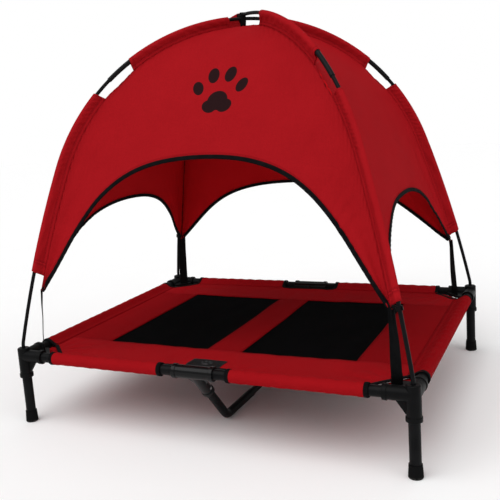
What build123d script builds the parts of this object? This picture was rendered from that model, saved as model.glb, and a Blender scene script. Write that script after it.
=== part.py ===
from build123d import *
import math
import os

# Raised pet cot with a lift-off domed canopy. Millimetres, +Z up, floor at z = 0.
# The origin is on the floor under the middle of the bed. +X runs along the bed, -Y is the front.

# ---------------------------------------------------------------- driving dimensions
# Bed frame
LEG_SPAN_X = 882.0          # between leg centres along the bed
LEG_SPAN_Y = 730.0          # between leg centres across the bed
RAIL_Z = 158.0              # height of the rail centre lines
TUBE_OD = 22.0              # rails and legs
TUBE_WALL = 1.2
TUBE_PLAY = 0.05            # radial room of a tube in its socket

# Moulded corner joints
SOCKET_WALL = 3.0           # round every tube
SOCKET_DROP = 50.0          # leg socket, below the rail centre line
JOINT_CAP = 5.0             # top of a joint above its arms
ARM_REACH = 55.0            # from leg centre to the end of an arm
STOP_WALL = 9.0             # between a leg and the end of a rail
LEG_STOP_WALL = 4.0         # between the end of a leg and a rail
BEAD_RISE = 1.5             # rounded rim at the mouth of each arm and socket
BEAD_LENGTH = 9.0
GUSSET_REACH = 41.0         # from leg centre, along the arm
GUSSET_DROP = 38.0          # below the rail centre line
GUSSET_T = 7.0
POLE_HOLE_PLAY = 0.7        # radial room of a pole tip in the joint
POLE_HOLE_DEPTH = 27.0
WEB_T = 5.0                 # flat web between the arms
WEB_REACH = 57.0            # from leg centre, towards the middle of the bed
STRAP_SLOT_AT = 46.0        # from leg centre, towards the middle of the bed
STRAP_SLOT_PLAY = 1.0

# Feet
FOOT_H = 26.0
FOOT_WALL = 1.7
FOOT_FLARE = 1.5
FOOT_FLOOR = 6.0

# Centre joints and the brace under the bed
CENTRE_LENGTH = 94.0
BRACE_OD = 19.0
BRACE_WALL = 1.2
BRACE_INSERT = 35.0
BRACE_SOCKET_LENGTH = 84.0  # from the rail centre line, down the slope
BRACE_SLOPE = 48.0          # degrees below level
BRACE_BEND_R = 32.0
BRACE_FLOOR_GAP = 2.0
BRACE_LINK_OD = 16.0        # thinner tube that joins the two bent ones
BRACE_LINK_BARE = 190.0     # its visible length
BRACE_LINK_INSERT = 45.0

# Spring buttons that lock legs and brace
BUTTON_R = 3.0
BUTTON_PROUD = 1.2
BUTTON_RISE = 20.0          # above the mouth of a leg socket

# Bed cover
CLOTH_T = 2.0
COVER_SLACK = 0.4           # between the cover's sleeve and the rail
BARE_RAIL = 25.0            # between a corner joint and the cover
NOTCH_SHOULDER = 26.0
NOTCH_R = 18.0
CENTRE_BARE_RAIL = 28.0     # between a centre joint and the cover
CENTRE_NOTCH_DEPTH = 27.0
CENTRE_NOTCH_R = 16.0
TAPE_W = 8.0                # edge binding
STRIP_HALF = 41.0           # half of the cloth strip between the mesh windows
END_MARGIN = 143.0          # from rail centre line to a mesh window, at the ends
SIDE_MARGIN = 144.0         # from rail centre line to a mesh window, front and back
MESH_T = 1.2
WINDOW_R = 6.0
LABEL_W = 80.0
LABEL_H = 42.0
LABEL_T = 0.8

# Canopy poles
CROWN_Z = 885.0             # mean height of the crossing poles
POLE_OD = 8.0
POLE_BORE = 3.4
POLE_LEAN = 13.5            # degrees from upright, just above a corner joint
POLE_EASE = 68.4            # degrees turned from the crown where the bend eases
POLE_FOOT_BEND_R = 60.0
POLE_FOOT_STRAIGHT = 1.5    # upright part above the joint
POLE_GAP = 0.6              # between the poles where they cross
FERRULE_WALL = 1.3
FERRULE_LENGTH = 100.0
# Degrees from the crown at each ferrule's lower end
FERRULE_LOW_TURN = {"front_left": 41.2, "front_right": 48.9, "back_left": 46.0, "back_right": 47.6}
TIP_WALL = 0.6
TIP_LENGTH = 18.0
TIP_FLOOR = 3.0
TIP_GAP = 0.3               # between tip and socket floor
CORD_R = 1.25               # shock cord inside the poles

# Canopy cloth
SLEEVE_DEPTH = 22.0         # from pole centre line to the corner seam
SLEEVE_WALL = 1.2
SLEEVE_SLACK = 0.35         # between sleeve and ferrule
FIN_T = 2.4
SLEEVE_TOP_R = {            # from the centre to where each sleeve stops; the cloth sits a little off centre
    "front_left": 36.0,
    "front_right": 95.0,
    "back_left": 20.0,
    "back_right": 45.0,
}
# Degrees from the crown at the two ends of the gap in each sleeve
OPENING_TURNS = {
    "front_left": (33.5, 46.4),
    "front_right": (40.4, 53.0),
    "back_left": (37.5, 48.7),
    "back_right": (39.3, 50.2),
}
SLEEVE_END_Z = {"front_left": 351.0, "front_right": 321.0, "back_left": 336.0, "back_right": 330.0}
CORNER_TIP_Z = 302.0        # lowest point of the cloth at a corner
LEG_CLOTH_W = 8.0           # width of each panel at that point
FRONT_ARCH_RISE = 281.0     # above the corner tips
LOW_ARCH_RISE = 168.0       # the other three doorways
ARCH_LEG_OUT = 0.70         # shape of a doorway: shares of its half width and of its rise
ARCH_LEG_UP = 0.58
ARCH_CROWN_OUT = 0.62
SEAM_TAPE_W = 10.0
SEAM_TAPE_TOP_R = 45.0      # from the centre to where the seam tapes stop
SEAM_TAPE_T = 1.0

# Straps, tabs and hooks
STRAP_W = 24.0
STRAP_TOP_W = 15.0
STRAP_T = 1.8
TAB_T = 3.4
TAB_H = 30.0
TAB_RISE = 5.0              # above a corner joint
HOOK_Z = 308.0
HOOK_CORNERS = ("front_right", "back_left")
HOOK_H = 8.0
HOOK_WALL = 2.6
TIE_W = 12.0
TIE_T = 1.6

# ---------------------------------------------------------------- derived sizes
HALF_X = LEG_SPAN_X / 2
HALF_Y = LEG_SPAN_Y / 2
HALF_DIAGONAL = math.hypot(HALF_X, HALF_Y)
SIDE_X = HALF_X / HALF_DIAGONAL     # share of a diagonal distance that lies along X
SIDE_Y = HALF_Y / HALF_DIAGONAL
DIAGONAL_ANGLE = math.degrees(math.atan2(HALF_Y, HALF_X))
TUBE_R = TUBE_OD / 2
ARM_R = TUBE_R + SOCKET_WALL
BEAD_R = ARM_R + BEAD_RISE
SOCKET_BOTTOM_Z = RAIL_Z - SOCKET_DROP
JOINT_TOP_Z = RAIL_Z + ARM_R + JOINT_CAP
RAIL_INSERT = ARM_REACH - TUBE_R - STOP_WALL
LEG_INSERT = SOCKET_DROP - TUBE_R - LEG_STOP_WALL
BRACE_SOCKET_R = BRACE_OD / 2 + SOCKET_WALL
BUTTON_Z = SOCKET_BOTTOM_Z + BUTTON_RISE
NOTCH_REACH = ARM_REACH + BARE_RAIL
CENTRE_NOTCH_HALF = CENTRE_LENGTH / 2 + CENTRE_BARE_RAIL
FERRULE_R = POLE_OD / 2 + FERRULE_WALL
TIP_R = POLE_OD / 2 + TIP_WALL
TAB_TOP_Z = JOINT_TOP_Z + TAB_RISE
POLE_R = POLE_OD / 2
COVER_IN_R = TUBE_R + COVER_SLACK
COVER_OUT_R = COVER_IN_R + CLOTH_T
SLEEVE_IN_R = FERRULE_R + SLEEVE_SLACK
SLEEVE_OUT_R = SLEEVE_IN_R + SLEEVE_WALL
POLE_HOLE_FLOOR = JOINT_TOP_Z - POLE_HOLE_DEPTH
CROSS_SHIFT = (POLE_OD + POLE_GAP) / 2
FAR = 2000.0                        # larger than the whole object, for cutting tools

CORNERS = {
    "front_left": (-1, -1),
    "front_right": (1, -1),
    "back_left": (-1, 1),
    "back_right": (1, 1),
}
SIDES = {"front": (0, -1), "back": (0, 1), "left": (-1, 0), "right": (1, 0)}

parts = {}


# ---------------------------------------------------------------- small helpers
def upright(radius, bottom, top, x=0.0, y=0.0):
    """A solid round bar standing on z = bottom."""
    return Pos(x, y, (bottom + top) / 2) * Cylinder(radius, top - bottom)


def along_x(radius, start, end, y=0.0, z=0.0):
    """A solid round bar lying along X."""
    return Pos((start + end) / 2, y, z) * Rot(0, 90, 0) * Cylinder(radius, abs(end - start))


def along_y(radius, start, end, x=0.0, z=0.0):
    """A solid round bar lying along Y."""
    return Pos(x, (start + end) / 2, z) * Rot(90, 0, 0) * Cylinder(radius, abs(end - start))


def block(x, y, z):
    """A box from three (low, high) pairs."""
    size = [high - low for low, high in (x, y, z)]
    return Pos((x[0] + x[1]) / 2, (y[0] + y[1]) / 2, (z[0] + z[1]) / 2) * Box(*size)


def diagonal_angle(corner):
    """Direction from the centre of the bed to a corner, in degrees about +Z."""
    side_x, side_y = CORNERS[corner]
    return math.degrees(math.atan2(side_y * HALF_Y, side_x * HALF_X))


def in_corner_plane(shape, corner):
    """Turns a shape drawn in the XZ plane, with X as distance from the centre, to a corner."""
    return Rot(0, 0, diagonal_angle(corner)) * shape


def group(solids):
    """Several separate solids kept in one node."""
    return Compound(children=[solid for item in solids for solid in item.solids()])


# ---------------------------------------------------------------- the bend of the poles
def pole_foot():
    """Where the curved part of a pole starts, above its upright end."""
    lean = math.radians(POLE_LEAN)
    r = HALF_DIAGONAL - POLE_FOOT_BEND_R * (1 - math.cos(lean))
    z = JOINT_TOP_Z + POLE_FOOT_STRAIGHT + POLE_FOOT_BEND_R * math.sin(lean)
    return r, z


class Bend:
    """Half of a bent pole: a tight arc from the crown, easing into a long one to the foot."""

    def __init__(self, crown_z):
        foot_r, foot_z = pole_foot()
        self.crown_z = crown_z
        self.ease = math.radians(POLE_EASE)
        self.last = math.radians(90 - POLE_LEAN)
        sin_ease, cos_ease = math.sin(self.ease), math.cos(self.ease)
        sin_last, cos_last = math.sin(self.last), math.cos(self.last)
        # Both radii follow from the span and the rise that the two arcs have to cover.
        out_1, out_2 = sin_ease, sin_last - sin_ease
        down_1, down_2 = 1 - cos_ease, cos_ease - cos_last
        rise = crown_z - foot_z
        spread = out_1 * down_2 - out_2 * down_1
        self.top_r = (foot_r * down_2 - out_2 * rise) / spread
        self.side_r = (out_1 * rise - down_1 * foot_r) / spread
        self.top_centre = (0.0, crown_z - self.top_r)
        reach = self.side_r - self.top_r
        self.side_centre = (-reach * sin_ease, self.top_centre[1] - reach * cos_ease)

    def point(self, turn, inset=0.0):
        """(distance from centre, height) after turning from level by an angle in radians."""
        on_top = abs(turn) <= self.ease
        centre, radius = (self.top_centre, self.top_r) if on_top else (self.side_centre, self.side_r)
        radius -= inset
        return centre[0] + radius * math.sin(turn), centre[1] + radius * math.cos(turn)

    def turn_at_height(self, z, inset=0.0):
        """The turn at which the long arc passes a height."""
        return math.acos((z - self.side_centre[1]) / (self.side_r - inset))

    def edges(self, start, end, inset=0.0, squeeze=1.0):
        """Arcs between two turns, in the XZ plane; squeeze scales the distance from the centre."""
        marks = [start] + [self.ease] * (start < self.ease < end) + [end]
        found = []
        for first, last in zip(marks, marks[1:]):
            on_top = last <= self.ease
            centre, radius = (self.top_centre, self.top_r) if on_top else (self.side_centre, self.side_r)
            arc = EllipticalCenterArc(
                (centre[0] * squeeze, centre[1]),
                (radius - inset) * squeeze,
                radius - inset,
                start_angle=90 - math.degrees(last),
                arc_size=math.degrees(last - first),
            )
            found.append(arc)
        return [Plane.XZ * arc for arc in found]

    def wire(self, start, end, inset=0.0):
        """A round-arc path between two turns."""
        marks = [start] + [self.ease] * (start < self.ease < end) + [end]
        arcs = []
        for first, last in zip(marks, marks[1:]):
            places = [self.point(turn, inset) for turn in (first, (first + last) / 2, last)]
            arcs.append(ThreePointArc(*[(r, 0, z) for r, z in places]))
        return arcs


MEAN = Bend(CROWN_Z)
BEND_OF = {
    "front_left": Bend(CROWN_Z - CROSS_SHIFT),
    "back_right": Bend(CROWN_Z - CROSS_SHIFT),
    "front_right": Bend(CROWN_Z + CROSS_SHIFT),
    "back_left": Bend(CROWN_Z + CROSS_SHIFT),
}
OPPOSITE = {
    "front_left": "back_right",
    "back_right": "front_left",
    "front_right": "back_left",
    "back_left": "front_right",
}


def ferrule_turns(corner):
    """Turns at a ferrule's upper end, at the break between pole pieces, and at its lower end."""
    low = math.radians(FERRULE_LOW_TURN[corner])
    length = FERRULE_LENGTH / BEND_OF[corner].top_r
    return low - length, low - length / 2, low


def foot_edges():
    """The small bend and the upright end of a pole, from the curved part down into the joint."""
    foot_r, foot_z = pole_foot()
    lean = math.radians(POLE_LEAN)
    half = lean / 2
    straight_z = JOINT_TOP_Z + POLE_FOOT_STRAIGHT
    middle = (
        HALF_DIAGONAL - POLE_FOOT_BEND_R * (1 - math.cos(half)),
        straight_z + POLE_FOOT_BEND_R * math.sin(half),
    )
    end_z = POLE_HOLE_FLOOR + TIP_GAP + TIP_FLOOR
    small_bend = ThreePointArc(
        (foot_r, 0, foot_z), (middle[0], 0, middle[1]), (HALF_DIAGONAL, 0, straight_z)
    )
    return [small_bend, Line((HALF_DIAGONAL, 0, straight_z), (HALF_DIAGONAL, 0, end_z))]


def swept(edges, outer_r, inner_r=0.0):
    """A round bar or tube along a chain of edges."""
    path = Wire(edges)
    section = Plane(origin=path @ 0, z_dir=path % 0) * Circle(outer_r)
    solid = sweep(section, path=path)
    if inner_r:
        bore = Plane(origin=path @ 0, z_dir=path % 0) * Circle(inner_r)
        solid -= sweep(bore, path=path)
    return solid


# ---------------------------------------------------------------- bed frame
def tube_socket(start, direction, reach, outer_r, bore_r, depth):
    """An arm with a rim at its mouth, and the bore that the tube goes into."""
    start, direction = Vector(start), Vector(direction)
    mouth = start + direction * reach
    arm = Plane(origin=(start + mouth) * 0.5, z_dir=direction) * Cylinder(outer_r, reach)
    rim_at = mouth - direction * (BEAD_LENGTH / 2)
    rim = Plane(origin=rim_at, z_dir=direction) * fillet(
        Cylinder(outer_r + BEAD_RISE, BEAD_LENGTH).edges().filter_by(GeomType.CIRCLE), 1.2
    )
    bore_at = mouth - direction * (depth / 2)
    bore = Plane(origin=bore_at, z_dir=direction) * Cylinder(bore_r, depth)
    return arm + rim, bore


def to_corner(shape, corner):
    """Mirrors a shape made at the front left corner to another corner."""
    side_x, side_y = CORNERS[corner]
    shape = mirror(shape, Plane.YZ) if side_x > 0 else shape
    return mirror(shape, Plane.XZ) if side_y > 0 else shape


def first_corner_joint():
    """The moulded joint at the front left corner."""
    corner = "front_left"
    side_x, side_y = CORNERS[corner]
    x, y = side_x * HALF_X, side_y * HALF_Y
    bore_r = TUBE_R + TUBE_PLAY
    post = upright(ARM_R, RAIL_Z, JOINT_TOP_Z, x, y)
    post = fillet(post.edges().filter_by(GeomType.CIRCLE).sort_by(Axis.Z)[-1], 3.0)
    body, leg_bore = tube_socket(
        (x, y, RAIL_Z), (0, 0, -1), SOCKET_DROP, ARM_R, bore_r, LEG_INSERT
    )
    arm_x, bore_x = tube_socket((x, y, RAIL_Z), (-side_x, 0, 0), ARM_REACH, ARM_R, bore_r, RAIL_INSERT)
    arm_y, bore_y = tube_socket((x, y, RAIL_Z), (0, -side_y, 0), ARM_REACH, ARM_R, bore_r, RAIL_INSERT)
    outline = Polyline((0, 0), (GUSSET_REACH, 0), (ARM_R, -GUSSET_DROP), (0, -GUSSET_DROP), close=True)
    gusset = extrude(Plane.XZ * make_face(outline), GUSSET_T / 2, both=True)
    gusset_x = Pos(x, y, RAIL_Z) * Rot(0, 0, 0 if side_x < 0 else 180) * gusset
    gusset_y = Pos(x, y, RAIL_Z) * Rot(0, 0, 90 if side_y < 0 else -90) * gusset
    solid = post + body + arm_x + arm_y + gusset_x + gusset_y + corner_web(corner)
    hole = upright(TIP_R + POLE_HOLE_PLAY, POLE_HOLE_FLOOR, FAR, x, y)
    slot = in_corner_plane(strap_slot(), corner)
    button_hole = button_bar(corner, BUTTON_R + TUBE_PLAY, 0, FAR)
    return solid - leg_bore - bore_x - bore_y - hole - slot - button_hole


def corner_web(corner):
    """The flat web in the angle between the two arms, which the strap's tab drops through."""
    web = block((HALF_DIAGONAL - WEB_REACH, HALF_DIAGONAL), (-FAR, FAR), (0, WEB_T))
    web = in_corner_plane(web, corner)
    inner_x = (HALF_X - ARM_REACH, HALF_X)
    inner_y = (HALF_Y - ARM_REACH, HALF_Y)
    room = block([-high for high in reversed(inner_x)], [-high for high in reversed(inner_y)], (-FAR, FAR))
    return Pos(0, 0, RAIL_Z - WEB_T / 2) * (web & room)


def strap_slot():
    half_t = TAB_T / 2 + STRAP_SLOT_PLAY
    half_w = STRAP_W / 2 + STRAP_SLOT_PLAY
    at = HALF_DIAGONAL - STRAP_SLOT_AT
    return block((at - half_t, at + half_t), (-half_w, half_w), (0, FAR))


def button_bar(corner, radius, start, end):
    """A round bar across the leg's wall, on the side that faces along the bed's width."""
    side_x, side_y = CORNERS[corner]
    y = side_y * HALF_Y
    first, last = sorted((y - side_y * start, y - side_y * min(end, ARM_R + BUTTON_PROUD)))
    return along_y(radius, first, last, side_x * HALF_X, BUTTON_Z)


def leg_tube(corner):
    side_x, side_y = CORNERS[corner]
    x, y = side_x * HALF_X, side_y * HALF_Y
    top = SOCKET_BOTTOM_Z + LEG_INSERT
    tube = upright(TUBE_R, FOOT_FLOOR, top, x, y)
    tube -= upright(TUBE_R - TUBE_WALL, 0, FAR, x, y)
    return tube - button_bar(corner, BUTTON_R + TUBE_PLAY, 0, FAR)


def foot_cap(corner):
    side_x, side_y = CORNERS[corner]
    bore_r = TUBE_R + TUBE_PLAY
    outline = Polyline(
        (0, 0), (TUBE_R + FOOT_WALL + FOOT_FLARE, 0), (TUBE_R + FOOT_WALL, FOOT_H),
        (bore_r, FOOT_H), (bore_r, FOOT_FLOOR), (0, FOOT_FLOOR), close=True,
    )
    cap = revolve(Plane.XZ * make_face(outline), Axis.Z)
    rim = cap.edges().filter_by(GeomType.CIRCLE).sort_by(Axis.Z)[0]
    return Pos(side_x * HALF_X, side_y * HALF_Y, 0) * fillet(rim, 2.5)


def rail_end(half_span):
    """Where a rail stops inside a corner joint's arm."""
    return half_span - ARM_REACH + RAIL_INSERT


def side_rail(side_x):
    end = rail_end(HALF_Y)
    inner = TUBE_R - TUBE_WALL
    return along_y(TUBE_R, -end, end, side_x * HALF_X, RAIL_Z) - along_y(
        inner, -end, end, side_x * HALF_X, RAIL_Z
    )


def long_rail(side_x, side_y):
    start = CENTRE_LENGTH / 2 - RAIL_INSERT
    end = rail_end(HALF_X)
    low, high = sorted((side_x * start, side_x * end))
    inner = TUBE_R - TUBE_WALL
    return along_x(TUBE_R, low, high, side_y * HALF_Y, RAIL_Z) - along_x(
        inner, low, high, side_y * HALF_Y, RAIL_Z
    )


def brace_direction(side_y):
    slope = math.radians(BRACE_SLOPE)
    return Vector(0, -side_y * math.cos(slope), -math.sin(slope))


def centre_joint(side_y):
    middle = Vector(0, side_y * HALF_Y, RAIL_Z)
    bore_r = TUBE_R + TUBE_PLAY
    right, right_bore = tube_socket(middle, (1, 0, 0), CENTRE_LENGTH / 2, ARM_R, bore_r, RAIL_INSERT)
    left, left_bore = tube_socket(middle, (-1, 0, 0), CENTRE_LENGTH / 2, ARM_R, bore_r, RAIL_INSERT)
    down = brace_direction(side_y)
    socket, brace_bore = tube_socket(
        middle, down, BRACE_SOCKET_LENGTH, BRACE_SOCKET_R, BRACE_OD / 2 + TUBE_PLAY, BRACE_INSERT
    )
    spread = CENTRE_LENGTH / 2 - BEAD_LENGTH
    web_plane = Plane(origin=middle, x_dir=(1, 0, 0), z_dir=Vector(1, 0, 0).cross(down))
    outline = Polyline(
        (-spread, 0), (spread, 0), (BRACE_SOCKET_R, GUSSET_DROP + ARM_R / 2),
        (-BRACE_SOCKET_R, GUSSET_DROP + ARM_R / 2), close=True,
    )
    web = extrude(web_plane * make_face(outline), GUSSET_T / 2, both=True)
    button_hole = brace_button(side_y, BUTTON_R + TUBE_PLAY, 0, FAR)
    return right + left + socket + web - right_bore - left_bore - brace_bore - button_hole


def brace_button_centre(side_y):
    """Where the button crosses the brace tube, half way down its stay in the socket."""
    middle = Vector(0, side_y * HALF_Y, RAIL_Z)
    return middle + brace_direction(side_y) * (BRACE_SOCKET_LENGTH - BRACE_INSERT / 2)


def brace_button(side_y, radius, start, end):
    """A round bar across the brace's socket, along X, near the socket's mouth."""
    at = brace_button_centre(side_y)
    return along_x(radius, start, min(end, BRACE_SOCKET_R + BUTTON_PROUD), at.Y, at.Z)


def brace_tube(side_y):
    """One bent half of the floor brace: down from the centre joint, then level under the bed."""
    down = brace_direction(side_y)
    joint = Vector(0, side_y * HALF_Y, RAIL_Z)
    start = joint + down * (BRACE_SOCKET_LENGTH - BRACE_INSERT)
    level_z = BRACE_FLOOR_GAP + BRACE_OD / 2
    corner = joint + down * ((level_z - RAIL_Z) / down.Z)
    end = Vector(0, side_y * BRACE_LINK_BARE / 2, level_z)
    path = FilletPolyline(start, corner, end, radius=BRACE_BEND_R)
    tube = swept(path.edges(), BRACE_OD / 2, BRACE_OD / 2 - BRACE_WALL)
    return tube - brace_button(side_y, BUTTON_R + TUBE_PLAY, 0, FAR)


def brace_link():
    half = BRACE_LINK_BARE / 2 + BRACE_LINK_INSERT
    level_z = BRACE_FLOOR_GAP + BRACE_OD / 2
    bar = along_y(BRACE_LINK_OD / 2, -half, half, 0, level_z)
    return bar - along_y(BRACE_LINK_OD / 2 - BRACE_WALL, -half, half, 0, level_z)


def leaf_spring(tube_inner_r):
    """A bent strip that pushes a button out through the tube's wall. The button points to +X."""
    strip_t = 0.8
    width = 2 * BUTTON_R
    far_side = tube_inner_r - 2.0
    near = block((tube_inner_r - 2.2, tube_inner_r - 1.4), (-width / 2, width / 2), (-4, 26))
    back = block((-far_side, -far_side + strip_t), (-width / 2, width / 2), (-4, 26))
    bow = block((-far_side, tube_inner_r - 1.4), (-width / 2, width / 2), (26, 26 + strip_t))
    return near + back + bow


def spring_buttons():
    """Sprung pins that lock the legs and the brace halves in their sockets."""
    pins = []
    inner = TUBE_R - TUBE_WALL
    for corner, (side_x, side_y) in CORNERS.items():
        pin = button_bar(corner, BUTTON_R, inner - 2.2, FAR)
        place = Pos(side_x * HALF_X, side_y * HALF_Y, BUTTON_Z) * Rot(180, 0, -90 * side_y)
        pins.append(pin + place * leaf_spring(inner))
    inner = BRACE_OD / 2 - BRACE_WALL
    for side_y in (-1, 1):
        pin = brace_button(side_y, BUTTON_R, inner - 2.2, FAR)
        at = brace_button_centre(side_y)
        frame = Plane(origin=at, x_dir=(1, 0, 0), z_dir=brace_direction(side_y))
        pins.append(pin + frame * leaf_spring(inner))
    return group(pins)


# ---------------------------------------------------------------- bed cover
def corner_cut(corner, grow):
    """Cutting tool for a corner notch; grow widens it by a band."""
    side_x, side_y = CORNERS[corner]
    reach = NOTCH_REACH + grow
    shoulder = NOTCH_SHOULDER + grow * math.tan(math.radians(22.5))
    out = -2 * BEAD_R - grow
    path = FilletPolyline(
        (out, reach), (shoulder, reach), (reach, shoulder), (reach, out), radius=NOTCH_R
    )
    outline = path.edges() + Polyline((reach, out), (out, out), (out, reach)).edges()
    tool = extrude(make_face(outline), FAR, both=True)
    tool = tool if side_x < 0 else mirror(tool, Plane.YZ)
    tool = tool if side_y < 0 else mirror(tool, Plane.XZ)
    return Pos(side_x * HALF_X, side_y * HALF_Y, 0) * tool


def centre_cut(side_y, grow):
    """Cutting tool for the notch at a centre joint."""
    half = CENTRE_NOTCH_HALF + grow
    depth = CENTRE_NOTCH_DEPTH + grow
    tool = block((-half, half), (-2 * BEAD_R - grow, depth), (-FAR, FAR))
    tool = fillet(tool.edges().filter_by(Axis.Z).group_by(Axis.Y)[-1], CENTRE_NOTCH_R)
    tool = tool if side_y < 0 else mirror(tool, Plane.XZ)
    return Pos(0, side_y * HALF_Y, 0) * tool


def cover_cuts(grow=0.0):
    cuts = [corner_cut(corner, grow) for corner in CORNERS]
    return cuts + [centre_cut(side_y, grow) for side_y in (-1, 1)]


def mesh_window(side_x, thickness):
    x_low, x_high = STRIP_HALF, HALF_X - END_MARGIN
    y_half = HALF_Y - SIDE_MARGIN
    half_t = thickness / 2
    window = block((x_low, x_high), (-y_half, y_half), (RAIL_Z - half_t, RAIL_Z + half_t))
    window = fillet(window.edges().filter_by(Axis.Z), WINDOW_R)
    return window if side_x > 0 else mirror(window, Plane.YZ)


def deck_plate(thickness):
    half_t = thickness / 2
    plate = block((-HALF_X, HALF_X), (-HALF_Y, HALF_Y), (RAIL_Z - half_t, RAIL_Z + half_t))
    for side in (-1, 1):
        plate -= along_y(COVER_OUT_R, -FAR, FAR, side * HALF_X, RAIL_Z)
        plate -= along_x(COVER_OUT_R, -FAR, FAR, side * HALF_Y, RAIL_Z)
    outside = block((-FAR, FAR), (-FAR, FAR), (-FAR, FAR)) - block(
        (-HALF_X, HALF_X), (-HALF_Y, HALF_Y), (-FAR, FAR)
    )
    return plate - outside


def rail_sleeves():
    """The four tubes of cloth sewn round the rails."""
    end_x = HALF_X - NOTCH_REACH
    end_y = HALF_Y - NOTCH_REACH
    sleeves = []
    for side in (-1, 1):
        long_sleeve = along_x(COVER_OUT_R, -end_x, end_x, side * HALF_Y, RAIL_Z)
        long_sleeve -= along_x(COVER_IN_R, -end_x, end_x, side * HALF_Y, RAIL_Z)
        short_sleeve = along_y(COVER_OUT_R, -end_y, end_y, side * HALF_X, RAIL_Z)
        short_sleeve -= along_y(COVER_IN_R, -end_y, end_y, side * HALF_X, RAIL_Z)
        sleeves += [long_sleeve, short_sleeve]
    return sleeves


def bed_cover():
    cover = deck_plate(CLOTH_T)
    for sleeve in rail_sleeves():
        cover += sleeve
    for tool in cover_cuts(TAPE_W):
        cover -= tool & block((-FAR, FAR), (-FAR, FAR), (RAIL_Z - CLOTH_T, RAIL_Z + CLOTH_T)) \
            & inside_rails()
    for tool in cover_cuts():
        cover -= tool
    for side_x in (-1, 1):
        cover -= mesh_window(side_x, 2 * CLOTH_T)
    return cover


def inside_rails():
    """The room between the cover's rail sleeves, where the edge binding lies flat."""
    x, y = HALF_X - COVER_OUT_R, HALF_Y - COVER_OUT_R
    return block((-x, x), (-y, y), (-FAR, FAR))


def cover_binding(cut):
    """Binding tape round one notch, lying in the plane of the cover."""
    return (deck_plate(CLOTH_T) & cut(TAPE_W) & inside_rails()) - cut(0.0)


def cover_label():
    y_low = -HALF_Y + CENTRE_NOTCH_DEPTH + TAPE_W + 2.0
    top = RAIL_Z + CLOTH_T / 2
    label = block((-LABEL_W / 2, LABEL_W / 2), (y_low, y_low + LABEL_H), (top, top + LABEL_T))
    return fillet(label.edges().filter_by(Axis.Z), 3.0)


# ---------------------------------------------------------------- canopy cloth
def vault(inset):
    """Solid dome whose four sides are barrel surfaces meeting over the diagonals."""
    sides = []
    for squeeze, turn in ((SIDE_X, 0), (SIDE_Y, 90)):
        last = MEAN.turn_at_height(CORNER_TIP_Z, inset)
        crown = (0, 0, MEAN.crown_z - inset)
        foot_r, foot_z = MEAN.point(last, inset)
        foot = (foot_r * squeeze, 0, foot_z)
        arcs = MEAN.edges(0, last, inset, squeeze)
        ground = (0, 0, foot_z)
        outline = arcs + [Line(foot, ground), Line(ground, crown)]
        half = extrude(make_face(outline), FAR, both=True)
        whole = half + mirror(half, Plane.YZ)
        sides.append(Rot(0, 0, turn) * whole)
    return sides[0] & sides[1]


def wedge(side):
    """The quarter of space that one panel fills."""
    side_x, side_y = SIDES[side]
    if side_y:
        outline = Polyline((0, 0), (FAR * SIDE_X, FAR * SIDE_Y), (-FAR * SIDE_X, FAR * SIDE_Y), close=True)
    else:
        outline = Polyline((0, 0), (FAR * SIDE_X, FAR * SIDE_Y), (FAR * SIDE_X, -FAR * SIDE_Y), close=True)
    quarter = extrude(make_face(outline), FAR)
    if side_y < 0:
        quarter = mirror(quarter, Plane.XZ)
    if side_x < 0:
        quarter = mirror(quarter, Plane.YZ)
    return quarter


def arch_sizes(side, grow=0.0):
    """Half width at the corner tips, and rise, of one doorway."""
    seam_r = MEAN.point(MEAN.turn_at_height(CORNER_TIP_Z, SLEEVE_DEPTH), SLEEVE_DEPTH)[0]
    share = SIDE_X if SIDES[side][1] else SIDE_Y
    rise = FRONT_ARCH_RISE if side == "front" else LOW_ARCH_RISE
    # A band of even width needs more room sideways where the arch stands steeply.
    return seam_r * share - LEG_CLOTH_W + 1.25 * grow, rise + grow


def arch_edges(half, rise):
    """A doorway's outline in the XZ plane: two mirrored curves from the tips to the crown."""
    leg_handle = (ARCH_LEG_OUT * half, ARCH_LEG_UP * rise)
    crown_handle = (ARCH_CROWN_OUT * half, rise)
    right = Bezier((half, 0), leg_handle, crown_handle, (0, rise))
    left = Bezier((0, rise), (-crown_handle[0], rise), (-leg_handle[0], leg_handle[1]), (-half, 0))
    return [right, left]


def arch_tool(side, grow=0.0):
    """Cutting tool through one doorway."""
    half, rise = arch_sizes(side, grow)
    bottom = Polyline((-half, 0), (-half, -CORNER_TIP_Z), (half, -CORNER_TIP_Z), (half, 0))
    face = make_face(arch_edges(half, rise) + bottom.edges())
    tool = extrude(Plane(origin=(0, 0, CORNER_TIP_Z), x_dir=(1, 0, 0), z_dir=(0, -1, 0)) * face, FAR)
    turn = {"front": 0, "right": 90, "back": 180, "left": 270}[side]
    return Rot(0, 0, turn) * tool


def canopy_panel(side, shell):
    return (shell & wedge(side)) - arch_tool(side, TAPE_W)


def arch_binding(side, shell):
    return (shell & wedge(side) & arch_tool(side, TAPE_W)) - arch_tool(side)


def seam_tape(corner, lining):
    """Binding over the inside of one corner seam."""
    band = block((SEAM_TAPE_TOP_R, FAR), (-SEAM_TAPE_W / 2, SEAM_TAPE_W / 2), (CORNER_TIP_Z, FAR))
    tape = lining & in_corner_plane(band, corner)
    for side in SIDES:
        tape -= arch_tool(side, TAPE_W)
    return tape


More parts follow.
